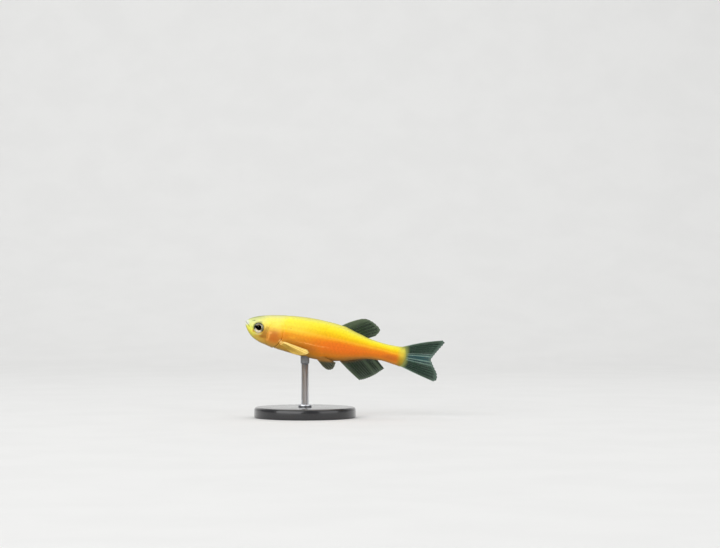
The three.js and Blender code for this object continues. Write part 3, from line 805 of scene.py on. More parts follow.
# A thin dashed line of painted highlight, a reflection along the lateral line, runs along the front of the
# flank.
# In a pair, it is nothing at the first value and whole at the second.
LINE_LEVEL, LINE_EDGE = 0.352, (0.022, 0.006)
LINE_STARTS, LINE_ENDS = (10.6, 13.0), (19, 16)
LINE_WAVES, LINE_WANDERS = 1.3, 0.05
LINE_DASHES, DASH_STRENGTH = 1500.0, [(0.38, 0.25), (0.58, 1.0)]
HIGHLIGHT_LINE_COLOUR, HIGHLIGHT_LINE_STRENGTH = "F8A450", 0.8
TAIL_BASE_COLOURS = [
    (0.05, "8C7420"),
    (0.3, "B4941E"),
    (0.6, "E6C83C"),
    (0.8, "E4D850"),
    (1.0, "B0B05C"),
]
TAIL_BASE_STARTS, ROOT_OF_TAIL_STARTS = (31.9, 33.2), (33.1, 34.3)
ROOT_OF_TAIL = "8E9650"
# The colour and strength of the painted shade in the creases of the head.
CREASE_SHADE_COLOUR, CREASE_SHADE_STRENGTH = "4E3A1C", 0.75
MOTTLE, MOTTLE_SHADES, MOTTLE_STRENGTH = 2600.0, [(0.3, 0.86), (0.7, 1.0)], 0.55
SKIN_PORES = 9000.0


def painted_highlight_line(tree, along, level, place):
    """How strong the painted highlight line of the flank is."""
    wave = node(
        tree,
        "ShaderNodeTexNoise",
        {"W": times(tree, along, LINE_WAVES), "Scale": 1.0, "Detail": 2.0},
        noise_dimensions="1D",
    )
    wandering = stirred(tree, level, wave.outputs["Fac"], LINE_WANDERS)
    line = smooth(tree, off(tree, wandering, LINE_LEVEL), *LINE_EDGE)
    for start, whole in (LINE_STARTS, LINE_ENDS):
        line = times(tree, line, smooth(tree, along, start, whole))
    dashes = ramp(tree, noise(tree, place, LINE_DASHES, 2.0), DASH_STRENGTH)
    return times(tree, times(tree, line, dashes), HIGHLIGHT_LINE_STRENGTH)


def body_paint(tree):
    """The colour of the body at each point, before any sheen, with painted highlights, a painted shadow and
    painted shade in the creases.
    """
    along, level, height = (carried(tree, name) for name in ("along", "level", "height"))
    place = place_on(tree)
    clouded = stirred(tree, level, noise(tree, place, CLOUDS, 3.0), CLOUD_STIR)
    colour = ramp(tree, clouded, SNOUT_COLOURS)
    for start, end, colours in COLOURINGS:
        colour = blended(tree, smooth(tree, along, start, end), colour, ramp(tree, clouded, colours))
    # Patches of colour, among them painted highlights and a painted shadow.
    for centre, radii, softness, strength, tint in PATCHES_AND_PAINTED_LIGHT:
        patch = spot(tree, along, height, centre, radii, softness)
        colour = blended(tree, times(tree, patch, strength), colour, tint)
    # A painted highlight along the lateral line of the flank.
    colour = blended(tree, painted_highlight_line(tree, along, level, place), colour, HIGHLIGHT_LINE_COLOUR)
    base = ramp(tree, level, TAIL_BASE_COLOURS)
    colour = blended(tree, smooth(tree, along, *TAIL_BASE_STARTS), colour, base)
    colour = blended(tree, smooth(tree, along, *ROOT_OF_TAIL_STARTS), colour, ROOT_OF_TAIL)
    # Painted shade darkens the creases of the head: the mouth, the nostrils and the gill slit.
    crease = times(tree, carried(tree, "crease"), CREASE_SHADE_STRENGTH)
    colour = blended(tree, crease, colour, CREASE_SHADE_COLOUR)
    mottle = ramp(tree, noise(tree, place, MOTTLE, 4.0), MOTTLE_SHADES)
    return blended(tree, MOTTLE_STRENGTH, colour, mottle, "MULTIPLY")


moist_skin, tree, shader = material(
    "moist_skin",
    Specular_IOR_Level=0.18,
    Coat_Weight=0.12,
    Coat_Roughness=0.1,
    Subsurface_Weight=0.08,
    Subsurface_Scale=0.5 * MM,
)
pores = noise(tree, place_on(tree), SKIN_PORES, 3.0)
gloss = spread(tree, pores, 0.26, 0.44)
wet = {"Base Color": body_paint(tree), "Normal": bumped(tree, pores, 0.25, PORE_DEPTH), "Roughness": gloss}
join(shader, wet)
skin.data.materials.append(moist_skin)


# The scales are thin, clear, round-ended plates in crossed rows, each rooted under the one before it.
# They run from the edge of the gill cover to the root of the tail fin, and a node tree lays them on
# the skin, one from each root, with the free end lifted over the next.
SCALE_ROWS = 13  # from the back to the belly, on one side
SCALES_FROM = 6.0
SCALE_START = 0.5  # behind the gill edge
CROWN_EDGE, CROWN_HEIGHT = 7.6, 1.6  # where the scales start above the gill cover
GILL_EDGE_HEIGHT = 4.2  # how far above and below its middle the gill edge is followed
SCALES_END = 0.35  # before the end of the flesh
SCALE_APART = (0.38, 0.6)  # from one scale to the next: a length, and a share of the distance between rows
SCALE_LIFT = 0.055 * MM
SCALE_THICKNESS = 0.015 * MM
SCALE_ROOT_SUNK = 0.02 * MM
SCALE_OVERLAP = 1.9  # length, over the distance to the next scale in the row
SCALE_WIDTH = 1.45  # width, over the distance between rows
PLATE_RINGS, PLATE_SIDES = 3, 12
PLATE_WIDTH, PLATE_WIDENS = 0.86, 0.2  # its width at its root, and how much wider its free end is
PLATE_SINKS = (0.3, 0.0)
SCALE_JITTER = 0.05
SCALE_SEED = 7
GIRTH_STEPS = 241
BAKE_PATCH = 0.003
SCALE_MIDDLE = (0.32, 0.0, 0.0)
SCALE_RIM = [(0.42, 1.0), (0.6, 0.96), (0.68, 1.0)]
GROWTH_LINES, GROWTH_DEPTH = 120.0, 0.01 * MM


def plate():
    """One scale: x from its root to its free end, y across, and how far each point stands off the skin."""
    middle = (0.5, 0.0, 0.0)
    points = [middle]
    for ring in range(1, PLATE_RINGS + 1):
        reach = 0.5 * ring / PLATE_RINGS
        for a in around(PLATE_SIDES):
            x = 0.5 + reach * math.cos(a)
            points.append((x, reach * math.sin(a) * (PLATE_WIDTH + PLATE_WIDENS * x), 0.0))
    points.append(middle)
    x = np.array(points)[:, 0]
    stand_off = SCALE_LIFT * x - SCALE_ROOT_SUNK * rise(x, *PLATE_SINKS)
    stand_off[-1] -= SCALE_THICKNESS
    made = mesh_object("scale_plate", points, turned_over(ring_faces(PLATE_RINGS, PLATE_SIDES)))
    sharp = made.data.attributes.new("sharp_edge", "BOOLEAN", "EDGE")
    rim = range(len(points) - 1 - PLATE_SIDES, len(points) - 1)
    sharp.data.foreach_set("value", [set(edge.vertices) <= set(rim) for edge in made.data.edges])
    point_values(made.data, "stand_off", stand_off)
    point_values(made.data, "spot", points)
    return made


def girth_rows(s):
    """The angles of the section at which the rows of scales lie, and the distance between rows."""
    angle = np.linspace(0, np.pi, GIRTH_STEPS)
    ring = section_point(np.full(angle.shape, s), angle)
    length = np.append(0, np.cumsum(np.linalg.norm(np.diff(ring, axis=0), axis=1)))
    return np.interp(np.linspace(0, length[-1], SCALE_ROWS + 1), length, angle), length[-1] / SCALE_ROWS


def first_scale(height):
    """Where the scales start at a height: behind the gill cover, or behind the crown above it."""
    edge = CROWN_EDGE
    if height < CROWN_HEIGHT:
        up = np.clip(height - GILL_CENTRE[1], -GILL_EDGE_HEIGHT, GILL_EDGE_HEIGHT)
        edge = GILL_CENTRE[0] + math.sqrt(GILL_RADIUS**2 - up**2)
    return max(edge, SCALES_FROM) + SCALE_START


def scale_roots():
    """Where each scale is rooted: its distance behind the snout, its angle, its length and its width."""
    roots = []
    for row in range(SCALE_ROWS + 1):
        s = SCALES_FROM
        while True:
            angles, apart = girth_rows(s)
            step = SCALE_APART[0] + SCALE_APART[1] * apart
            height = section_point(np.array(s), np.array(angles[row]))[2]
            rounded_off = STALK_END_ROUND * (2 * level_at(s, height) - 1) ** 2
            if s + SCALE_OVERLAP * step > BODY_LENGTH - SCALES_END - rounded_off:
                break
            at = s + (0.5 * step if row % 2 else 0)
            if at >= first_scale(height):
                for sign in (-1,) if row in (0, SCALE_ROWS) else (-1, 1):
                    roots.append((at, sign * angles[row], step * SCALE_OVERLAP, apart * SCALE_WIDTH))
            s += step
    return np.array(roots)


def root_mesh(roots):
    """A point for each scale, with the way it lies, the way off the body, its unwrap and its size."""
    s, angle, length, width = roots.T
    point = section_point(s, angle)
    lie = section_point(s + SLIGHTLY, angle) - section_point(s - SLIGHTLY, angle)
    across = section_point(s, angle + SLIGHTLY) - section_point(s, angle - SLIGHTLY)
    bed = mesh_object("scale_bed", in_part(point), [])
    origin = in_part(np.zeros(3))
    point_values(bed.data, "lie", in_part(lie) - origin)
    point_values(bed.data, "outward", in_part(square_off(point, across, lie)) - origin)
    place = on_unwrap(s, angle / (2 * np.pi) % 1)
    point_values(bed.data, "root_place", np.pad(place, ((0, 0), (0, 1))))
    point_values(bed.data, "scale_length", length * MM)
    point_values(bed.data, "scale_width", width * MM)
    return bed


def new_tree(name, inputs):
    """A tree of geometry nodes with named inputs, its first and last nodes, and the keys of its inputs."""
    tree = bpy.data.node_groups.new(name, "GeometryNodeTree")
    tree.interface.new_socket("Geometry", in_out="OUTPUT", socket_type="NodeSocketGeometry")
    tree.interface.new_socket("Geometry", in_out="INPUT", socket_type="NodeSocketGeometry")
    keys = {}
    for label, kind in inputs.items():
        socket = tree.interface.new_socket(label, in_out="INPUT", socket_type="NodeSocket" + kind)
        keys[label] = socket.identifier
    return tree, tree.nodes.new("NodeGroupInput"), tree.nodes.new("NodeGroupOutput"), keys


def result(tree, kind, output, inputs=None, **settings):
    return node(tree, kind, inputs, **settings).outputs[output]


def read(tree, name, kind="FLOAT"):
    """What the points carry under a name, in a tree of geometry nodes."""
    inputs = {"Name": name}
    return result(tree, "GeometryNodeInputNamedAttribute", "Attribute", inputs, data_type=kind)


def vector_sum(tree, operation, inputs, output="Vector"):
    return result(tree, "ShaderNodeVectorMath", output, inputs, operation=operation)


def finished(tree, start, end, geometry):
    """The last step of a tree: its geometry takes a material."""
    inputs = {"Geometry": geometry, "Material": start.outputs["Finish"]}
    join(end, {"Geometry": result(tree, "GeometryNodeSetMaterial", "Geometry", inputs)})


def grown(bed, tree, keys, values, name):
    """Runs a tree on a mesh and keeps its result as a plain mesh under a new name."""
    modifier = bed.modifiers.new(tree.name, "NODES")
    modifier.node_group = tree
    for label, value in values.items():
        modifier[keys[label]] = value
    graph = bpy.context.evaluated_depsgraph_get()
    mesh = bpy.data.meshes.new_from_object(bed.evaluated_get(graph), depsgraph=graph)
    mesh.name = name
    made = placed(name, mesh)
    bpy.data.objects.remove(bed)
    return made


def scale_tree():
    """Lays a plate on each root, turned a little at random, and bends it to the skin."""
    tree, start, end, keys = new_tree(
        "laid_scales",
        {"Plate": "Object", "Skin": "Object", "Jitter": "Float", "Seed": "Int", "Finish": "Material"},
    )
    plates, flesh = (
        result(tree, "GeometryNodeObjectInfo", "Geometry", {"Object": start.outputs[name]})
        for name in ("Plate", "Skin")
    )
    ways = {
        "Primary Axis": read(tree, "outward", "FLOAT_VECTOR"),
        "Secondary Axis": read(tree, "lie", "FLOAT_VECTOR"),
    }
    lies = result(
        tree, "FunctionNodeAxesToRotation", "Rotation", ways, primary_axis="Z", secondary_axis="X"
    )
    size = {"X": read(tree, "scale_length"), "Y": read(tree, "scale_width"), "Z": 1.0}
    laid = {
        "Points": start.outputs["Geometry"],
        "Instance": plates,
        "Rotation": lies,
        "Scale": result(tree, "ShaderNodeCombineXYZ", "Vector", size),
    }
    chance = result(
        tree, "FunctionNodeRandomValue", 1, {"Seed": start.outputs["Seed"], 2: -1.0}, data_type="FLOAT"
    )
    turn = {"Z": times(tree, chance, start.outputs["Jitter"])}
    turned_a_little = {
        "Instances": result(tree, "GeometryNodeInstanceOnPoints", "Instances", laid),
        "Rotation": result(tree, "ShaderNodeCombineXYZ", "Vector", turn),
    }
    plates = result(tree, "GeometryNodeRotateInstances", "Instances", turned_a_little)
    solid = result(tree, "GeometryNodeRealizeInstances", "Geometry", {"Geometry": plates})
    nearest = result(
        tree, "GeometryNodeProximity", "Position", {"Geometry": flesh}, target_element="FACES"
    )
    normal = node(tree, "GeometryNodeSampleNearestSurface", {"Mesh": flesh}, data_type="FLOAT_VECTOR")
    join(normal, {"Value": result(tree, "GeometryNodeInputNormal", "Normal")})
    stand_off = {0: normal.outputs["Value"], "Scale": read(tree, "stand_off")}
    onto = vector_sum(tree, "ADD", {0: nearest, 1: vector_sum(tree, "SCALE", stand_off)})
    moved = {"Geometry": solid, "Position": onto}
    patch = vector_sum(tree, "SCALE", {0: read(tree, "spot", "FLOAT_VECTOR"), "Scale": BAKE_PATCH})
    mapped = {
        "Geometry": result(tree, "GeometryNodeSetPosition", "Geometry", moved),
        "Name": "OFBake",
        "Value": vector_sum(tree, "ADD", {0: read(tree, "root_place", "FLOAT_VECTOR"), 1: patch}),
    }
    layer = {"data_type": "FLOAT2", "domain": "CORNER"}
    scales = result(tree, "GeometryNodeStoreNamedAttribute", "Geometry", mapped, **layer)
    finished(tree, start, end, scales)
    return tree, keys


scale_finish, tree, shader = material(
    "scale_finish", Roughness=0.38, Specular_IOR_Level=0.18, Coat_Weight=0.08, Coat_Roughness=0.12
)
spot_at = node(tree, "ShaderNodeAttribute", attribute_name="spot").outputs["Vector"]
from_middle = vector_sum(tree, "DISTANCE", {0: spot_at, 1: SCALE_MIDDLE}, "Value")
colour = blended(tree, 1.0, body_paint(tree), ramp(tree, from_middle, SCALE_RIM), "MULTIPLY")
growth = sums(tree, "SINE", times(tree, from_middle, GROWTH_LINES))
join(shader, {"Base Color": colour, "Normal": bumped(tree, growth, 0.06, GROWTH_DEPTH)})

the_plate = plate()
tree, keys = scale_tree()
laid_on = {
    "Plate": the_plate,
    "Skin": skin,
    "Jitter": SCALE_JITTER,
    "Seed": SCALE_SEED,
    "Finish": scale_finish,
}
scales = grown(root_mesh(scale_roots()), tree, keys, laid_on, "body_scales")
bpy.data.objects.remove(the_plate)
marked(scales)
belongs(scales, "skin")


# Each eye is a flattened globe set in its orbit: a black pupil in a silver iris that is bright below
# and behind and dark above, under a clear wet cornea. The globes are turned about an axis that points
# out of the side of the head, a little upward.
PUPIL_RADIUS = 0.54
PUPIL_STEP = 0.015
PUPIL_GAP = 0.01  # between the iris's inner edge and the pupil's edge
PUPIL_BULGE = 0.09
IRIS_FACE = 0.36
IRIS_SLOPE = 0.1
IRIS_UNDER_CORNEA = 1.5  # gaps
EYE_DEPTH = 0.62
EYE_SUNK = 0.34
EYE_SIDES = 96
GLOBE_BACK = (0, 0.4, 0.75, 0.98)  # the radii of its rings
IRIS_RINGS, PUPIL_RINGS, CORNEA_RINGS = 18, 10, 18
CORNEA_GAP = 0.035
CORNEA_REACH, CORNEA_THICKNESS = 0.97, 0.8  # shares of the eye's radius, and of the gap
CHEEK_REACH = 0.4  # how far from the eye the slope of the cheek is measured
TURNED_FORWARD, TURNED_UP, TILTED_UP = 0.2, 0.5, 0.08  # shares of the slope, and an upward lean
SPUR = (-0.98, 0.2)  # the way that the pupil's small point looks, forward and a little up
SPUR_WIDTH, SPUR_LENGTH = (0.84, 1.0), 0.34
IRIS_STREAKS, IRIS_FLECKS, FLECK_STRENGTH = 14.0, 22.0, 0.6
IRIS_SILVER = [(0.38, "BEC0A6"), (0.5, "E0DFC8"), (0.62, "F8F4E2")]
IRIS_SHADES = [  # around the eye from straight behind, by way of the top
    (0.0, 0.3),
    (0.07, 0.55),
    (0.14, 0.5),
    (0.22, 0.26),
    (0.34, 0.34),
    (0.42, 0.6),
    (0.48, 0.12),
    (0.54, 0.2),
    (0.62, 0.8),
    (0.72, 1.0),
    (0.82, 0.9),
    (0.9, 0.22),
    (1.0, 0.3),
]
IRIS_LOWER, IRIS_LOWER_STRENGTH, IRIS_LOWER_COLOUR = (-0.3, -0.75), 0.55, "FFE9C6"
IRIS_EDGE, IRIS_EDGE_COLOUR = [(0.74, 0.0), (0.94, 0.6)], "2E2A20"
IRIS_RIM, IRIS_RIM_COLOUR = [(0.93, 0.0), (1.0, 1.0)], "4A3C22"
IRIS_RING, IRIS_RING_COLOUR = [(0.53, 0.7), (0.61, 0.0)], "B89A4E"
PUPIL_EDGE = PUPIL_RADIUS / EYE_RADIUS
PUPIL_BLUR = [(PUPIL_EDGE - 0.01, 0.0), (PUPIL_EDGE + 0.025, 1.0)]


def globe_height(radius):
    return EYE_DEPTH * np.sqrt(np.clip(1 - (np.asarray(radius) / EYE_RADIUS) ** 2, 0, 1))


def iris_height(radius):
    """The iris is a shallow cone with a rounded rim, under the dome of the cornea."""
    cone = IRIS_FACE - IRIS_SLOPE * (radius - PUPIL_RADIUS)
    return np.minimum(globe_height(radius) - CORNEA_GAP * IRIS_UNDER_CORNEA, cone)


def pupil_height(radius):
    return IRIS_FACE + PUPIL_BULGE * (1 - (radius / PUPIL_RADIUS) ** 2) - PUPIL_STEP


def eye_axes(sign):
    """The eye's middle and its backward, upward and outward ways, turned with the cheek around it."""
    s, h = (np.array(v) for v in EYE)
    reach = CHEEK_REACH
    slope_s = float(side_at(s + reach, h) - side_at(s - reach, h)) / (2 * reach)
    slope_h = float(side_at(s, h + reach) - side_at(s, h - reach)) / (2 * reach)
    outward = np.array([-slope_s * TURNED_FORWARD, sign, TILTED_UP - slope_h * TURNED_UP])
    outward /= np.linalg.norm(outward)
    middle = np.array([EYE[0], sign * float(side_at(s, h)), EYE[1]]) - outward * EYE_SUNK
    back = np.array([1.0, 0.0, 0.0]) - outward * outward[0]
    back /= np.linalg.norm(back)
    up = np.cross(back, outward) * sign
    return middle, back, up, outward


def eye_piece(name, section, sign):
    """A body turned about the eye's axis from (radius, how far out) pairs that start and end on the axis."""
    middle, back, up, outward = eye_axes(sign)
    points, in_eye = [], []
    for i, (radius, out) in enumerate(section):
        angles = around(1 if i in (0, len(section) - 1) else EYE_SIDES)
        for angle in angles:
            a, u = radius * math.cos(angle), radius * math.sin(angle)
            points.append(middle + back * a + up * u + outward * out)
            in_eye.append((a / EYE_RADIUS, u / EYE_RADIUS, 0))
    faces = ring_faces(len(section) - 2, EYE_SIDES)
    if sign > 0:
        faces = [face[::-1] for face in faces]
    made = mesh_object(name, in_part(points), faces)
    point_values(made.data, "in_eye", in_eye)
    return made


def eye_paint(tree):
    in_eye = node(tree, "ShaderNodeAttribute", attribute_name="in_eye").outputs["Vector"]
    parts = node(tree, "ShaderNodeSeparateXYZ", {"Vector": in_eye})
    back_part, up_part = parts.outputs["X"], parts.outputs["Y"]
    across = vector_sum(tree, "LENGTH", {0: in_eye}, "Value")
    turn = sums(tree, "DIVIDE", sums(tree, "ARCTAN2", up_part, back_part), 2 * math.pi)
    turn = sums(tree, "FRACT", sums(tree, "ADD", turn, 1.0))
    way = vector_sum(tree, "NORMALIZE", {0: in_eye})
    streaks, flecks = (
        result(tree, "ShaderNodeTexNoise", "Color", {"Vector": at, "Scale": scale, "Detail": detail})
        for at, scale, detail in ((way, IRIS_STREAKS, 2.0), (in_eye, IRIS_FLECKS, 4.0))
    )
    grain = {"Color": blended(tree, FLECK_STRENGTH, streaks, flecks)}
    silver = ramp(tree, result(tree, "ShaderNodeRGBToBW", "Val", grain), IRIS_SILVER)
    iris = blended(tree, 1.0, silver, ramp(tree, turn, IRIS_SHADES), "MULTIPLY")
    below = smooth(tree, up_part, *IRIS_LOWER)
    iris = blended(tree, times(tree, below, IRIS_LOWER_STRENGTH), iris, IRIS_LOWER_COLOUR)
    edge = times(tree, ramp(tree, across, IRIS_EDGE), sums(tree, "SUBTRACT", 1.0, below))
    iris = blended(tree, edge, iris, IRIS_EDGE_COLOUR)
    iris = blended(tree, ramp(tree, across, IRIS_RIM), iris, IRIS_RIM_COLOUR)
    iris = blended(tree, ramp(tree, across, IRIS_RING), iris, IRIS_RING_COLOUR)
    toward_spur = vector_sum(tree, "DOT_PRODUCT", {0: way, 1: (*SPUR, 0)}, "Value")
    spur = smooth(tree, toward_spur, *SPUR_WIDTH, SPUR_LENGTH)
    outside = ramp(tree, sums(tree, "SUBTRACT", across, spur), PUPIL_BLUR)
    return blended(tree, outside, "020202", iris)


iris_finish, tree, shader = material("eye_iris_and_pupil", Roughness=0.35, Specular_IOR_Level=0.02)
join(shader, {"Base Color": eye_paint(tree)})
cornea_finish, tree, shader = material(
    "eye_cornea", Base_Color=(1, 1, 1, 1), Roughness=0.02, IOR=1.08, Transmission_Weight=1.0
)

globe = [(r, -float(globe_height(r))) for r in GLOBE_BACK]
globe += [(r, float(iris_height(r))) for r in np.linspace(EYE_RADIUS, PUPIL_RADIUS, IRIS_RINGS)]
globe += [(r, pupil_height(r)) for r in np.linspace(PUPIL_RADIUS - PUPIL_GAP, 0, PUPIL_RINGS)]
dome = [(r, float(globe_height(r))) for r in np.linspace(EYE_RADIUS * CORNEA_REACH, 0, CORNEA_RINGS)]
shell = [(r, out - CORNEA_GAP * CORNEA_THICKNESS) for r, out in dome[::-1]] + dome
for side, sign in (("left", -1), ("right", 1)):
    ball = eye_piece(f"eye_{side}_iris", globe, sign)
    ball.data.materials.append(iris_finish)
    belongs(ball, "eye", f"eye_{side}")
    cornea = eye_piece(f"eye_{side}_cornea", shell, sign)
    cornea.data.materials.append(cornea_finish)
    belongs(cornea, "eye")


# Two pairs of barbels: a long one from each corner of the mouth, which lies back along the cheek, and a
# short one from each side of the snout. They are soft, tapering feelers of the skin's own colour.
BARBELS = [  # points (distance behind the snout, height, distance off the skin), radius at root and tip
    (
        [
            (1.05, -0.35, -0.12),
            (1.35, -0.6, 0.12),
            (1.85, -1.2, 0.22),
            (2.4, -1.95, 0.26),
            (2.85, -2.55, 0.24),
        ],
        (0.085, 0.02),
    ),
    ([(0.5, 0.35, -0.1), (0.72, 0.2, 0.12), (1.0, -0.1, 0.24), (1.3, -0.42, 0.3)], (0.06, 0.018)),
]
BARBEL_STEPS, BARBEL_SIDES, BARBEL_TAPER = 26, 10, 0.8
RAY_SIDES = 8


def tube_tree():
    """Sweeps a round section along the edges of a mesh, as wide as their points say."""
    tree, start, end, keys = new_tree(
        "round_strands", {"Sides": "Int", "Thickness": "Float", "Finish": "Material"}
    )
    lines = {"Mesh": start.outputs["Geometry"]}
    circle = {"Resolution": start.outputs["Sides"], "Radius": start.outputs["Thickness"]}
    sweep = {
        "Curve": result(tree, "GeometryNodeMeshToCurve", "Curve", lines),
        "Profile Curve": result(tree, "GeometryNodeCurvePrimitiveCircle", "Curve", circle),
        "Scale": read(tree, "thickness"),
        "Fill Caps": True,
    }
    swept = {"Geometry": result(tree, "GeometryNodeCurveToMesh", "Mesh", sweep)}
    solid = {"Geometry": result(tree, "GeometryNodeRealizeInstances", "Geometry", swept)}
    finished(tree, start, end, result(tree, "GeometryNodeSetShadeSmooth", "Geometry", solid))
    return tree, keys


strand_tree, strand_keys = tube_tree()


def strands(name, lines, finish, sides=RAY_SIDES):
    """Round strands along lines of the fish's own frame, as one mesh.

    Each is its points, their radii, their tones and their shares of the way from root to tip.
    """
    columns = [[], [], [], []]
    edges = []
    for line in lines:
        first = len(columns[0])
        for column, values in zip(columns, line):
            column.extend(values)
        edges.extend((i, i + 1) for i in range(first, len(columns[0]) - 1))
    mesh = bpy.data.meshes.new(name + "_lines")
    mesh.from_pydata([tuple(point) for point in in_part(columns[0])], edges, [])
    for label, values in zip(("thickness", "tone", "reach"), columns[1:]):
        point_values(mesh, label, values)
    values = {"Sides": sides, "Thickness": MM, "Finish": finish}
    return grown(placed(name + "_lines", mesh), strand_tree, strand_keys, values, name)


lines = []
for knots, (root_radius, tip_radius) in BARBELS:
    for sign in (-1, 1):
        shaped = [(s, sign * (float(side_at(np.array(s), np.array(h))) + out), h) for s, h, out in knots]
        share = np.linspace(0, 1, BARBEL_STEPS)
        radius = root_radius + (tip_radius - root_radius) * share**BARBEL_TAPER
        lines.append((spline(shaped, BARBEL_STEPS), radius, share, share))
barbels = strands("barbels", lines, moist_skin, BARBEL_SIDES)
marked(barbels)
belongs(barbels, "skin")


# A fin is a thin see-through membrane on bony rays that fan out from its root. The membrane is a sheet
# with two faces, hollowed a little between the rays and nicked along its edge. The soft rays are jointed
# and fork twice on their way to the edge, and the first ray of a fin is stout and whole.
MEMBRANE_ROOT, MEMBRANE_EDGE, MEMBRANE_TAPER = 0.11, 0.02, 0.7  # thicknesses, and how it thins
MEMBRANE_STEPS = 6  # across, from one ray to the next
HOLLOW, HOLLOW_STARTS = 0.55, (0.02, 0.2)
EDGE_NICK = 0.01  # how far the edge falls back between two rays, as a share of their length
EDGE_RAGGED = 0.006  # how much further it falls back at random
RAY_NICK = 0.008  # how much further the branches of a ray fall back
RAY_STEPS = 72
RAY_ROOT, RAY_TIP, RAY_TAPER = 0.085, 0.022, 0.75  # radii, and how a ray thins
LEADING_RAY = 1.35  # times as stout
JOINT_EVERY, JOINT_WIDTH, JOINT_DEPTH, JOINTS_START = 0.24, 0.16, 0.14, (0.2, 0.35)
FIRST_FORK, SECOND_FORK = 0.42, 0.72
FORK_SPREAD, FORK_OPENS = 0.4, 0.3
TWIGS = {-0.75: 0, -0.25: SECOND_FORK, 0.25: SECOND_FORK, 0.75: FIRST_FORK}  # each starts at a fork
BRANCH_THINNER = 0.3
BUD_THINNER, BUD_SWELLS = 0.3, (0.01, 0.08)  # where a branch leaves its stem, and past the fork
PALE_TONE, DARK_TONE, TIP_TONE = 0.85, 0.15, 0.35
ROOT_FINENESS = 0.3  # a ray's thickness inside the flesh, against its thickness where it comes out
ROOT_COMES_OUT = 0.16
ROOT_SUNK = 0.7
SHEET_STEPS = 401
SAME_PLACE = 0.0001 * MM
# How a fin is coloured, from its root, 0, to its edge, 1, and how deep in the body's outline it lies.
WEB_CLOUDS, WEB_CLOUD_EDGES, WEB_CHANGES = 700.0, (0.32, 0.68), [(0.05, 0.0), (0.75, 1.0)]
STREAK_CORE = 0.3  # the share of a streak's width that is whole
WEB_RIM, WEB_RIM_STRENGTH = [(0.86, 0.0), (0.98, 1.0)], 0.75
ALPHA_AT, ALPHA_CLOUDS = (0.0, 0.35, 0.9, 1.0), [(0.3, 0.88), (0.7, 1.0)]
BONE_CLOUDS, BONE_CLOUD_STIR, BONE_TONES = 1500.0, 0.3, (0.1, 0.5, 0.9)
STAIN_WHOLE = 0.4  # the share of the stained root that is wholly stained
OVER_BODY = (-0.05, 0.035)  # the level at which a fin starts to lie over the body


def mid_plane(x, y, out):
    return np.stack(np.broadcast_arrays(x, out, y), -1)


def fin_sheet(roots, tips, lean=0.0, bow=0.0, place=mid_plane):
    """The fin's middle surface: u from its root to its edge, v across it from the leading ray, out of it."""
    root_line, tip_line = spline(roots, SHEET_STEPS), spline(tips, SHEET_STEPS)
    steps = np.linspace(0, 1, SHEET_STEPS)

    def at(u, v, out=0.0):
        u, v, out = np.broadcast_arrays(u, v, out)
        start, end = (
            np.stack([np.interp(v, steps, column) for column in line.T], -1)
            for line in (root_line, tip_line)
        )
        ray = end - start
        sideways = np.stack([-ray[..., 1], ray[..., 0]], -1)
        curve = lean * np.sin(np.pi * np.clip(u, 0, 1)) * (1 - v)
        flat = start + ray * u[..., None] + sideways * curve[..., None]
        return place(flat[..., 0], flat[..., 1], out + bow * u * u * np.cos(np.pi * v))

    return at


def between_rays(v, rays):
    """0 on the rays of a fin and 1 halfway between two of them."""
    return np.sin(np.pi * v * (rays - 1)) ** 2


def coming_out(u):
    """How a fin thickens where it comes out of the flesh."""
    return ROOT_FINENESS + (1 - ROOT_FINENESS) * rise(u, 0, ROOT_COMES_OUT)


def sheet_faces(rows, columns, first, open_edge):
    """The two faces of a sheet, and the walls round it, apart from the edge that meets the other sheet."""
    wide = columns + 1
    under = (rows + 1) * wide
    grid = first + np.arange(under).reshape(rows + 1, wide)
    faces = []
    for a, b, c, d in zip(grid[:-1, :-1].flat, grid[:-1, 1:].flat, grid[1:, 1:].flat, grid[1:, :-1].flat):
        faces += [(a, b, c, d), (a + under, d + under, c + under, b + under)]
    rim = [*grid[0, :-1], *grid[:-1, -1], *grid[-1, :0:-1], *grid[:0:-1, 0]]
    open_walls = range(columns, columns + rows) if open_edge else ()
    for k, (a, b) in enumerate(zip(rim, rim[1:] + rim[:1])):
        if k not in open_walls:
            faces.append((a, a + under, b + under, b))
    return [tuple(int(i) for i in face) for face in faces]


def membrane_mesh(sheets, rays, rows, seed):
    """The closed membrane of one or two sheets that meet along their last rays.

    It gives the points and the faces, and each point's way from root to edge and across the fan.
    """
    rng = np.random.default_rng(seed)
    points, faces, reach, fan = [], [], [], []
    columns = (rays - 1) * MEMBRANE_STEPS
    v = np.linspace(0, 1, columns + 1)
    between = between_rays(v, rays)
    for number, at in enumerate(sheets):
        edge = 1 - EDGE_NICK * between - EDGE_RAGGED * rng.random(len(v)) * between
        u = np.linspace(0, 1, rows + 1)[:, None] * edge[None, :]
        across = np.broadcast_to(v, u.shape)
        thick = (MEMBRANE_ROOT + (MEMBRANE_EDGE - MEMBRANE_ROOT) * u**MEMBRANE_TAPER) * coming_out(u)
        thick = thick * (1 - HOLLOW * between * rise(u, *HOLLOW_STARTS))
        sheet = sheet_faces(rows, columns, len(points), len(sheets) > 1)
        faces += [face[::-1] for face in sheet] if number else sheet
        for face in (0.5, -0.5):
            points.extend(at(u, across, face * thick).reshape(-1, 3))
            reach.extend(u.ravel())
            fan.extend((2 - across if number else across).ravel())
    return np.array(points), faces, reach, fan


def closed_up(obj):
    """Joins points that lie in one place, and turns the faces over if they point inwards."""
    body = bmesh.new()
    body.from_mesh(obj.data)
    bmesh.ops.remove_doubles(body, verts=body.verts, dist=SAME_PLACE)
    if body.calc_volume(signed=True) < 0:
        bmesh.ops.reverse_faces(body, faces=body.faces)
    body.to_mesh(obj.data)
    body.free()


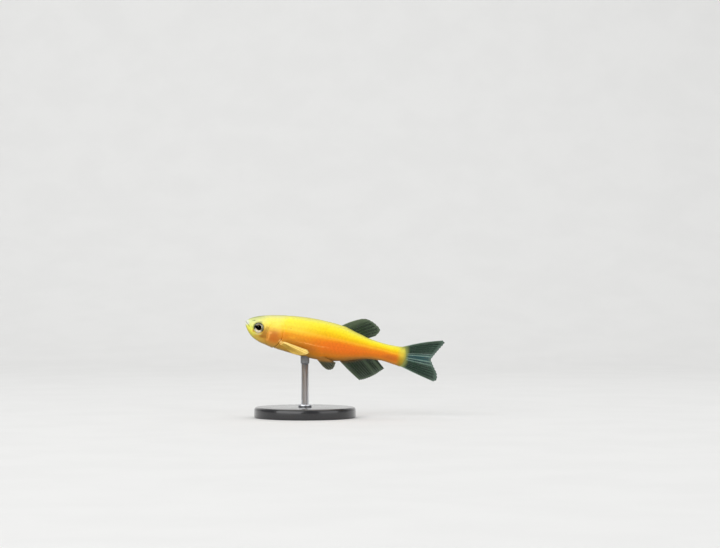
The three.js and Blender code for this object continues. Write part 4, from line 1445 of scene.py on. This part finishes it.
def ray_branch(at, rays, v, twig, width):
    """One branch of a ray, or the whole of it where the twig is 0, with its radii and where it starts."""
    u = np.linspace(0, 1, RAY_STEPS)
    half = math.copysign(0.5, twig) if twig else 0.0
    fork, second = ((u - place).clip(0) / (1 - place) for place in (FIRST_FORK, SECOND_FORK))
    drift = half * rise(u, FIRST_FORK, FIRST_FORK + FORK_OPENS) * fork + (twig - half) * second
    across = np.clip(v + FORK_SPREAD * drift / (rays - 1), 0, 1)
    short = 1 - (EDGE_NICK + RAY_NICK) * between_rays(across[-1], rays)
    starts = TWIGS.get(twig, 0)
    if twig:
        width = width * (1 - BRANCH_THINNER * rise(u, FIRST_FORK, 1))
    if starts:
        bud = rise(u, *(starts + past for past in BUD_SWELLS))
        width = width * (1 - BUD_THINNER + BUD_THINNER * bud)
    return at(u * short, across), width, int(RAY_STEPS * starts)


def ray_lines(at, rays, plain, pale, last, stout):
    """The rays of a sheet as lines with their radii and tones: stems that fork twice, and whole ones."""
    lines = []
    u = np.linspace(0, 1, RAY_STEPS)
    for k in range(rays):
        v = k / (rays - 1)
        if v > last:
            continue
        length = float(np.linalg.norm(at(1.0, v) - at(0.0, v)))
        joint = bell((u * length / JOINT_EVERY) % 1 - 0.5, JOINT_WIDTH) * rise(u, *JOINTS_START)
        taper = coming_out(u) * (RAY_ROOT + (RAY_TIP - RAY_ROOT) * u**RAY_TAPER)
        width = stout * (LEADING_RAY if k in plain else 1) * (1 - JOINT_DEPTH * joint) * taper
        tone = (PALE_TONE if k in pale else DARK_TONE) + TIP_TONE * rise(u, 0.5, 1)
        for twig in (0.0,) if k in plain else TWIGS:
            line, radius, begin = ray_branch(at, rays, v, twig, width)
            lines.append((line[begin:], radius[begin:], tone[begin:], u[begin:]))
    return lines


def fin_finishes(name, web, web_alpha, bone, edge, stain, streaks=(), stained_to=0.2, flush=0.0):
    """The materials of a fin's membrane and of its rays. The body's colour stains both at their root.

    Where the fin lies over the body, the stain also shows through it, by the share called flush.
    """

    def stained(tree, colour):
        root = ramp(tree, carried(tree, "reach"), [(stained_to * STAIN_WHOLE, 1.0), (stained_to, 0.0)])
        colour = blended(tree, root, colour, stain)
        return blended(tree, smooth(tree, carried(tree, "level"), *OVER_BODY, flush), colour, stain)

    membrane, tree, shader = material(
        name + "_membrane", Roughness=0.3, Specular_IOR_Level=0.2, Coat_Weight=0.08, Coat_Roughness=0.1
    )
    reach, fan = carried(tree, "reach"), carried(tree, "fan")
    cloud = noise(tree, place_on(tree), WEB_CLOUDS, 4.0)
    near = ramp(tree, cloud, list(zip(WEB_CLOUD_EDGES, web)))
    colour = blended(tree, ramp(tree, reach, WEB_CHANGES), near, web[2])
    for centre, width, tint, strength in streaks:
        band = smooth(tree, off(tree, fan, centre), width, width * STREAK_CORE, strength)
        colour = blended(tree, band, colour, tint)
    colour = blended(tree, times(tree, ramp(tree, reach, WEB_RIM), WEB_RIM_STRENGTH), colour, edge)
    alpha = times(tree, ramp(tree, reach, list(zip(ALPHA_AT, web_alpha))), ramp(tree, cloud, ALPHA_CLOUDS))
    join(shader, {"Base Color": stained(tree, colour), "Alpha": alpha})
    bony, tree, shader = material(
        name + "_rays", Roughness=0.34, Specular_IOR_Level=0.25, Coat_Weight=0.06
    )
    cloud = noise(tree, place_on(tree), BONE_CLOUDS, 3.0)
    tone = stirred(tree, carried(tree, "tone"), cloud, BONE_CLOUD_STIR)
    join(shader, {"Base Color": stained(tree, ramp(tree, tone, list(zip(BONE_TONES, bone))))})
    return membrane, bony


def fin(name, sheets, rays, rows, finishes, slot, nodes, seed, plain=(0,), pale=(0,), stout=1.0):
    """A membrane with its rays, as two pieces. The membrane stands for the fin's nodes."""
    membrane_finish, ray_finish = finishes
    points, faces, reach, fan = membrane_mesh(sheets, rays, rows, seed)
    web = mesh_object(name + "_membrane", in_part(points), faces)
    point_values(web.data, "reach", reach)
    point_values(web.data, "fan", fan)
    closed_up(web)
    marked(web)
    web.data.materials.append(membrane_finish)
    belongs(web, slot, *nodes)
    lines = []
    for number, at in enumerate(sheets):
        last = 1 - number * 0.5 / (rays - 1)  # the second sheet leaves out the ray that they share
        lines += ray_lines(at, rays, plain, pale, last, stout)
    bones = strands(name + "_rays", lines, ray_finish)
    marked(bones)
    belongs(bones, slot)


# The dorsal fin stands far back, over the front half of the anal fin, with a rounded peak.
# It has nine rays. Its membrane is a dark see-through green, paler along its front and upper edge.
DORSAL_ROOTS = [(s, float(back_at(np.array(s))) - ROOT_SUNK) for s in (19.05, 20.9, 22.7, 24.6)]
DORSAL_TIPS = [(23.5, 5.8), (24.6, 5.94), (26.2, 5.45), (27.6, 4.35), (27, 2.95)]
fin(
    "fin_dorsal",
    [fin_sheet(DORSAL_ROOTS, DORSAL_TIPS, lean=0.04, bow=0.25)],
    rays=9,
    rows=30,
    finishes=fin_finishes(
        "dorsal_fin",
        ("10240A", "1E340C", "182A14"),
        (0.98, 0.96, 0.93, 0.88),
        ("34462E", "586A4E", "8A987C"),
        "62705A",
        stain="76783A",
        streaks=[(0.0, 0.42, "56644A", 0.85)],
    ),
    slot="fin_membrane",
    nodes=["fin_dorsal"],
    seed=11,
)


# The anal fin runs along most of the belly's rear half and comes to a point at its front.
# It has fourteen rays in a darker green than the dorsal fin's, with light streaks towards its rear.
ANAL_ROOTS = [(s, float(belly_at(np.array(s))) + ROOT_SUNK) for s in (20.2, 22.6, 25, 27.4)]
ANAL_TIPS = [(25.6, -6.7), (26.75, -6.2), (28.2, -5.2), (29.3, -4.15), (30.1, -3.3)]
fin(
    "fin_anal",
    [fin_sheet(ANAL_ROOTS, ANAL_TIPS, lean=-0.02, bow=-0.3)],
    rays=14,
    rows=30,
    finishes=fin_finishes(
        "anal_fin",
        ("0C1C08", "16280E", "1A2614"),
        (0.98, 0.965, 0.94, 0.9),
        ("2A3A2C", "465848", "788676"),
        "566252",
        stain="5A3C12",
        streaks=[(0.0, 0.16, "46523E", 0.8), (0.62, 0.07, "4E5C46", 0.6), (0.88, 0.08, "4E5C46", 0.7)],
        stained_to=0.3,
    ),
    slot="fin_membrane",
    nodes=["fin_anal"],
    seed=12,
)


# The tail fin is forked, with two pointed lobes that share their middle ray, and turned up a little.
# A teal tint and light streaks run along its middle rays, and its leading edges are paler.
TAIL_ROOT = BODY_LENGTH - 0.1
UPPER_TAIL = fin_sheet(
    [(TAIL_ROOT - 1.6, 1.5), (TAIL_ROOT - 0.9, 0.9), (TAIL_ROOT - 0.7, 0.06)],
    [(40.75, 4.92), (41.2, 4.5), (40.55, 3.3), (39.75, 1.88), (39.12, 0.56)],
    lean=0.03,
    bow=0.35,
)
LOWER_TAIL = fin_sheet(
    [(TAIL_ROOT - 1.6, -1.78), (TAIL_ROOT - 0.9, -0.9), (TAIL_ROOT - 0.7, 0.06)],
    [(40.6, -3.76), (41.2, -3.3), (41, -2.1), (40.05, -0.8), (39.12, 0.56)],
    lean=-0.01,
    bow=0.35,
)
TAIL_STREAKS = [
    (0.0, 0.14, "4E5E4E", 0.7),
    (2.0, 0.14, "4E5E4E", 0.5),
    (1.0, 0.28, "1A4A50", 0.8),
    (0.86, 0.05, "6E8C80", 0.65),
    (1.1, 0.045, "6E8C80", 0.65),
    (1.29, 0.045, "648274", 0.6),
    (1.0, 0.012, "4E5E4E", 0.5),
]
fin(
    "fin_tail",
    [UPPER_TAIL, LOWER_TAIL],
    rays=9,
    rows=34,
    finishes=fin_finishes(
        "tail_fin",
        ("0E2418", "183422", "162C20"),
        (0.985, 0.965, 0.93, 0.88),
        ("2C4436", "4C6656", "7E968A"),
        "5C7064",
        stain=ROOT_OF_TAIL,
        streaks=TAIL_STREAKS,
        stained_to=0.24,
    ),
    slot="fin_membrane",
    nodes=["fin_tail_upper", "fin_tail_lower"],
    seed=13,
    plain=(0, 1),
    pale=(0, 6, 7),
)


# The pectoral fins grow from behind the lower corners of the gill covers and trail back along the belly.
# They are straw yellow, and the ray along the leading edge is the brightest and stoutest part.
PECTORAL_ROOT = (8.75, -2.2)
PECTORAL_ROOTS = [(-0.95, 0.02), (-0.9, 0.28), (-0.8, 0.5)]
PECTORAL_TUCK, TUCK_BENDS = 0.6, (0.6, -0.9)
PECTORAL_TIPS = [(5.3, 0.02), (5.7, 0.5), (5.1, 1.15), (4, 1.6), (2.5, 1.75)]
PECTORAL_OFF_SKIN = 0.25
PECTORAL_POINTS, PECTORAL_SPREADS = (1, 0.16, -0.13), (-0.2, 0.42, -1)


def paired_plane(root, along, across, sign, tuck=0.0):
    """The plane of a paired fin, from its root, the way its leading ray points and the way it spreads.

    Its root bends in towards the body by the tuck.
    """
    flip = np.array([1, sign, 1])
    origin, a, b = (np.array(v, float) * flip for v in (root, along, across))
    a /= np.linalg.norm(a)
    b -= (b @ a) * a
    b /= np.linalg.norm(b)
    normal = np.cross(a, b) * sign

    def place(x, y, out):
        x, y, out = (np.asarray(v)[..., None] for v in np.broadcast_arrays(x, y, out))
        out = out - tuck * rise(x, *TUCK_BENDS)
        return origin + a * x + b * y + normal * out

    return place


straw = fin_finishes(
    "pectoral_fin",
    ("96741A", "A68026", "B08C34"),
    (0.95, 0.88, 0.78, 0.68),
    ("A8862C", "D2AE4A", "FFE28A"),
    "DCC270",
    stain="F0CC74",
    streaks=[(0.08, 0.42, "F4CE62", 0.93)],
)
behind, height = PECTORAL_ROOT
beside = float(side_at(np.array(behind), np.array(height))) + PECTORAL_OFF_SKIN
for side, sign in (("left", -1), ("right", 1)):
    root = (behind, beside, height)
    place = paired_plane(root, PECTORAL_POINTS, PECTORAL_SPREADS, sign, PECTORAL_TUCK)
    fin(
        f"fin_pectoral_{side}",
        [fin_sheet(PECTORAL_ROOTS, PECTORAL_TIPS, bow=0.12, place=place)],
        rays=10,
        rows=26,
        finishes=straw,
        slot="pectoral_membrane",
        nodes=[f"fin_pectoral_{side}"],
        seed=14,
        pale=(0, 1, 2),
        stout=1.1,
    )


# The pelvic fins hang in front of the vent, short and rounded, one on each side of the belly's keel.
# They are olive brown, with the belly's orange showing at their roots, and have seven rays each.
PELVIC_ROOT = (15.9, 0.78)
PELVIC_IN_BELLY = 0.35
PELVIC_ROOTS = [(-0.5, 0), (-0.2, 0.6), (0.35, 1.2)]
PELVIC_TIPS = [(2.4, 0.02), (3.25, 0.3), (3.8, 0.85), (4, 1.7), (3.55, 2.7)]
PELVIC_POINTS, PELVIC_SPREADS = (1, 0.24, -0.85), (0.62, 0.38, 1)
olive = fin_finishes(
    "pelvic_fin",
    ("4A3E12", "544A1C", "2E3026"),
    (0.98, 0.96, 0.93, 0.88),
    ("4A4A28", "62644A", "888A74"),
    "5E6052",
    stain="9C661A",
    stained_to=0.36,
    flush=0.92,
)
hang = float(belly_at(np.array(PELVIC_ROOT[0]))) + PELVIC_IN_BELLY
for side, sign in (("left", -1), ("right", 1)):
    place = paired_plane((*PELVIC_ROOT, hang), PELVIC_POINTS, PELVIC_SPREADS, sign)
    fin(
        f"fin_pelvic_{side}",
        [fin_sheet(PELVIC_ROOTS, PELVIC_TIPS, bow=0.1, place=place)],
        rays=7,
        rows=22,
        finishes=olive,
        slot="fin_membrane",
        nodes=[f"fin_pelvic_{side}"],
        seed=15,
    )


# A pale sweep of paper is the floor and the backdrop, with no edge between them. It is not a part of
# the object.
FLOOR_HALF_WIDTH = 0.9
FLOOR_FRONT = -0.7
SWEEP_STARTS = 0.25
SWEEP_RADIUS = 0.3
SWEEP_TOP = 1.0
SWEEP_STEPS = 24
PAPER_FIBRES = 60.0
paper, tree, shader = material("pale_paper", Roughness=0.9)
fibres = noise(tree, place_on(tree), PAPER_FIBRES, 6.0)
join(shader, {"Base Color": ramp(tree, fibres, [(0.35, "E9E9E8"), (0.65, "EBEBEA")])})
profile = [(FLOOR_FRONT, 0.0), (SWEEP_STARTS, 0.0)]
profile += rounded(SWEEP_STARTS, SWEEP_RADIUS, SWEEP_RADIUS, -90, 0, SWEEP_STEPS)[1:]
profile.append((SWEEP_STARTS + SWEEP_RADIUS, SWEEP_TOP))
points = [(x, y, z) for y, z in profile for x in (-FLOOR_HALF_WIDTH, FLOOR_HALF_WIDTH)]
faces = [(2 * i, 2 * i + 1, 2 * i + 3, 2 * i + 2) for i in range(len(profile) - 1)]
sweep = mesh_object("pale_sweep", points, faces)
sweep.data.materials.append(paper)


# Soft studio light: a wide box above and a little behind, which rims the back, a large fill from the
# camera's left, and a weak one from the right.
FISH_MIDDLE = Vector((0.004, 0.0, 0.018))
SOFTBOXES = [  # name, place, width, height, power
    ("top_box", (0.02, 0.1, 0.5), 0.6, 0.5, 1.25),
    ("left_fill", (-0.4, -0.55, 0.3), 0.9, 0.7, 4.4),
    ("right_fill", (0.55, -0.35, 0.2), 0.6, 0.5, 1.3),
]
AIR_LIGHT = 0.32
for name, spot_lit_from, width, height, power in SOFTBOXES:
    lamp = bpy.data.lights.new(name, "AREA")
    lamp.shape = "RECTANGLE"
    lamp.size, lamp.size_y, lamp.energy = width, height, power
    softbox = placed(name, lamp)
    softbox.location = spot_lit_from
    softbox.rotation_euler = (FISH_MIDDLE - softbox.location).to_track_quat("-Z", "Y").to_euler()
world = bpy.data.worlds.new("studio_air")
world.use_nodes = True
join(world.node_tree.nodes["Background"], {"Color": (1, 1, 1, 1), "Strength": AIR_LIGHT})
bpy.context.scene.world = world
bpy.context.scene.view_settings.view_transform = "Standard"


# The camera looks level at the fish's left side. The photograph's frame is 720 by 548 pixels, and the
# snout and the scale of the fish in it give the view's middle and width.
PHOTO_WIDTH, PHOTO_HEIGHT = 720, 548
SNOUT_PIXEL = (245.2, 322.2)
MM_PER_PIXEL = 0.2067
CAMERA_DISTANCE = 0.5
snout = in_part(np.zeros(3))
middle_x = snout[0] + (PHOTO_WIDTH / 2 - SNOUT_PIXEL[0]) * MM_PER_PIXEL * MM
middle_z = snout[2] + (SNOUT_PIXEL[1] - PHOTO_HEIGHT / 2) * MM_PER_PIXEL * MM
lens = bpy.data.cameras.new("camera")
lens.sensor_width = 36
lens.lens = lens.sensor_width * CAMERA_DISTANCE / (PHOTO_WIDTH * MM_PER_PIXEL * MM)
lens.clip_start = 0.01
lens.clip_end = 10
camera = placed("camera", lens)
camera.location = (middle_x, -CAMERA_DISTANCE, middle_z)
camera.rotation_euler = (math.pi / 2, 0, 0)
bpy.context.scene.camera = camera
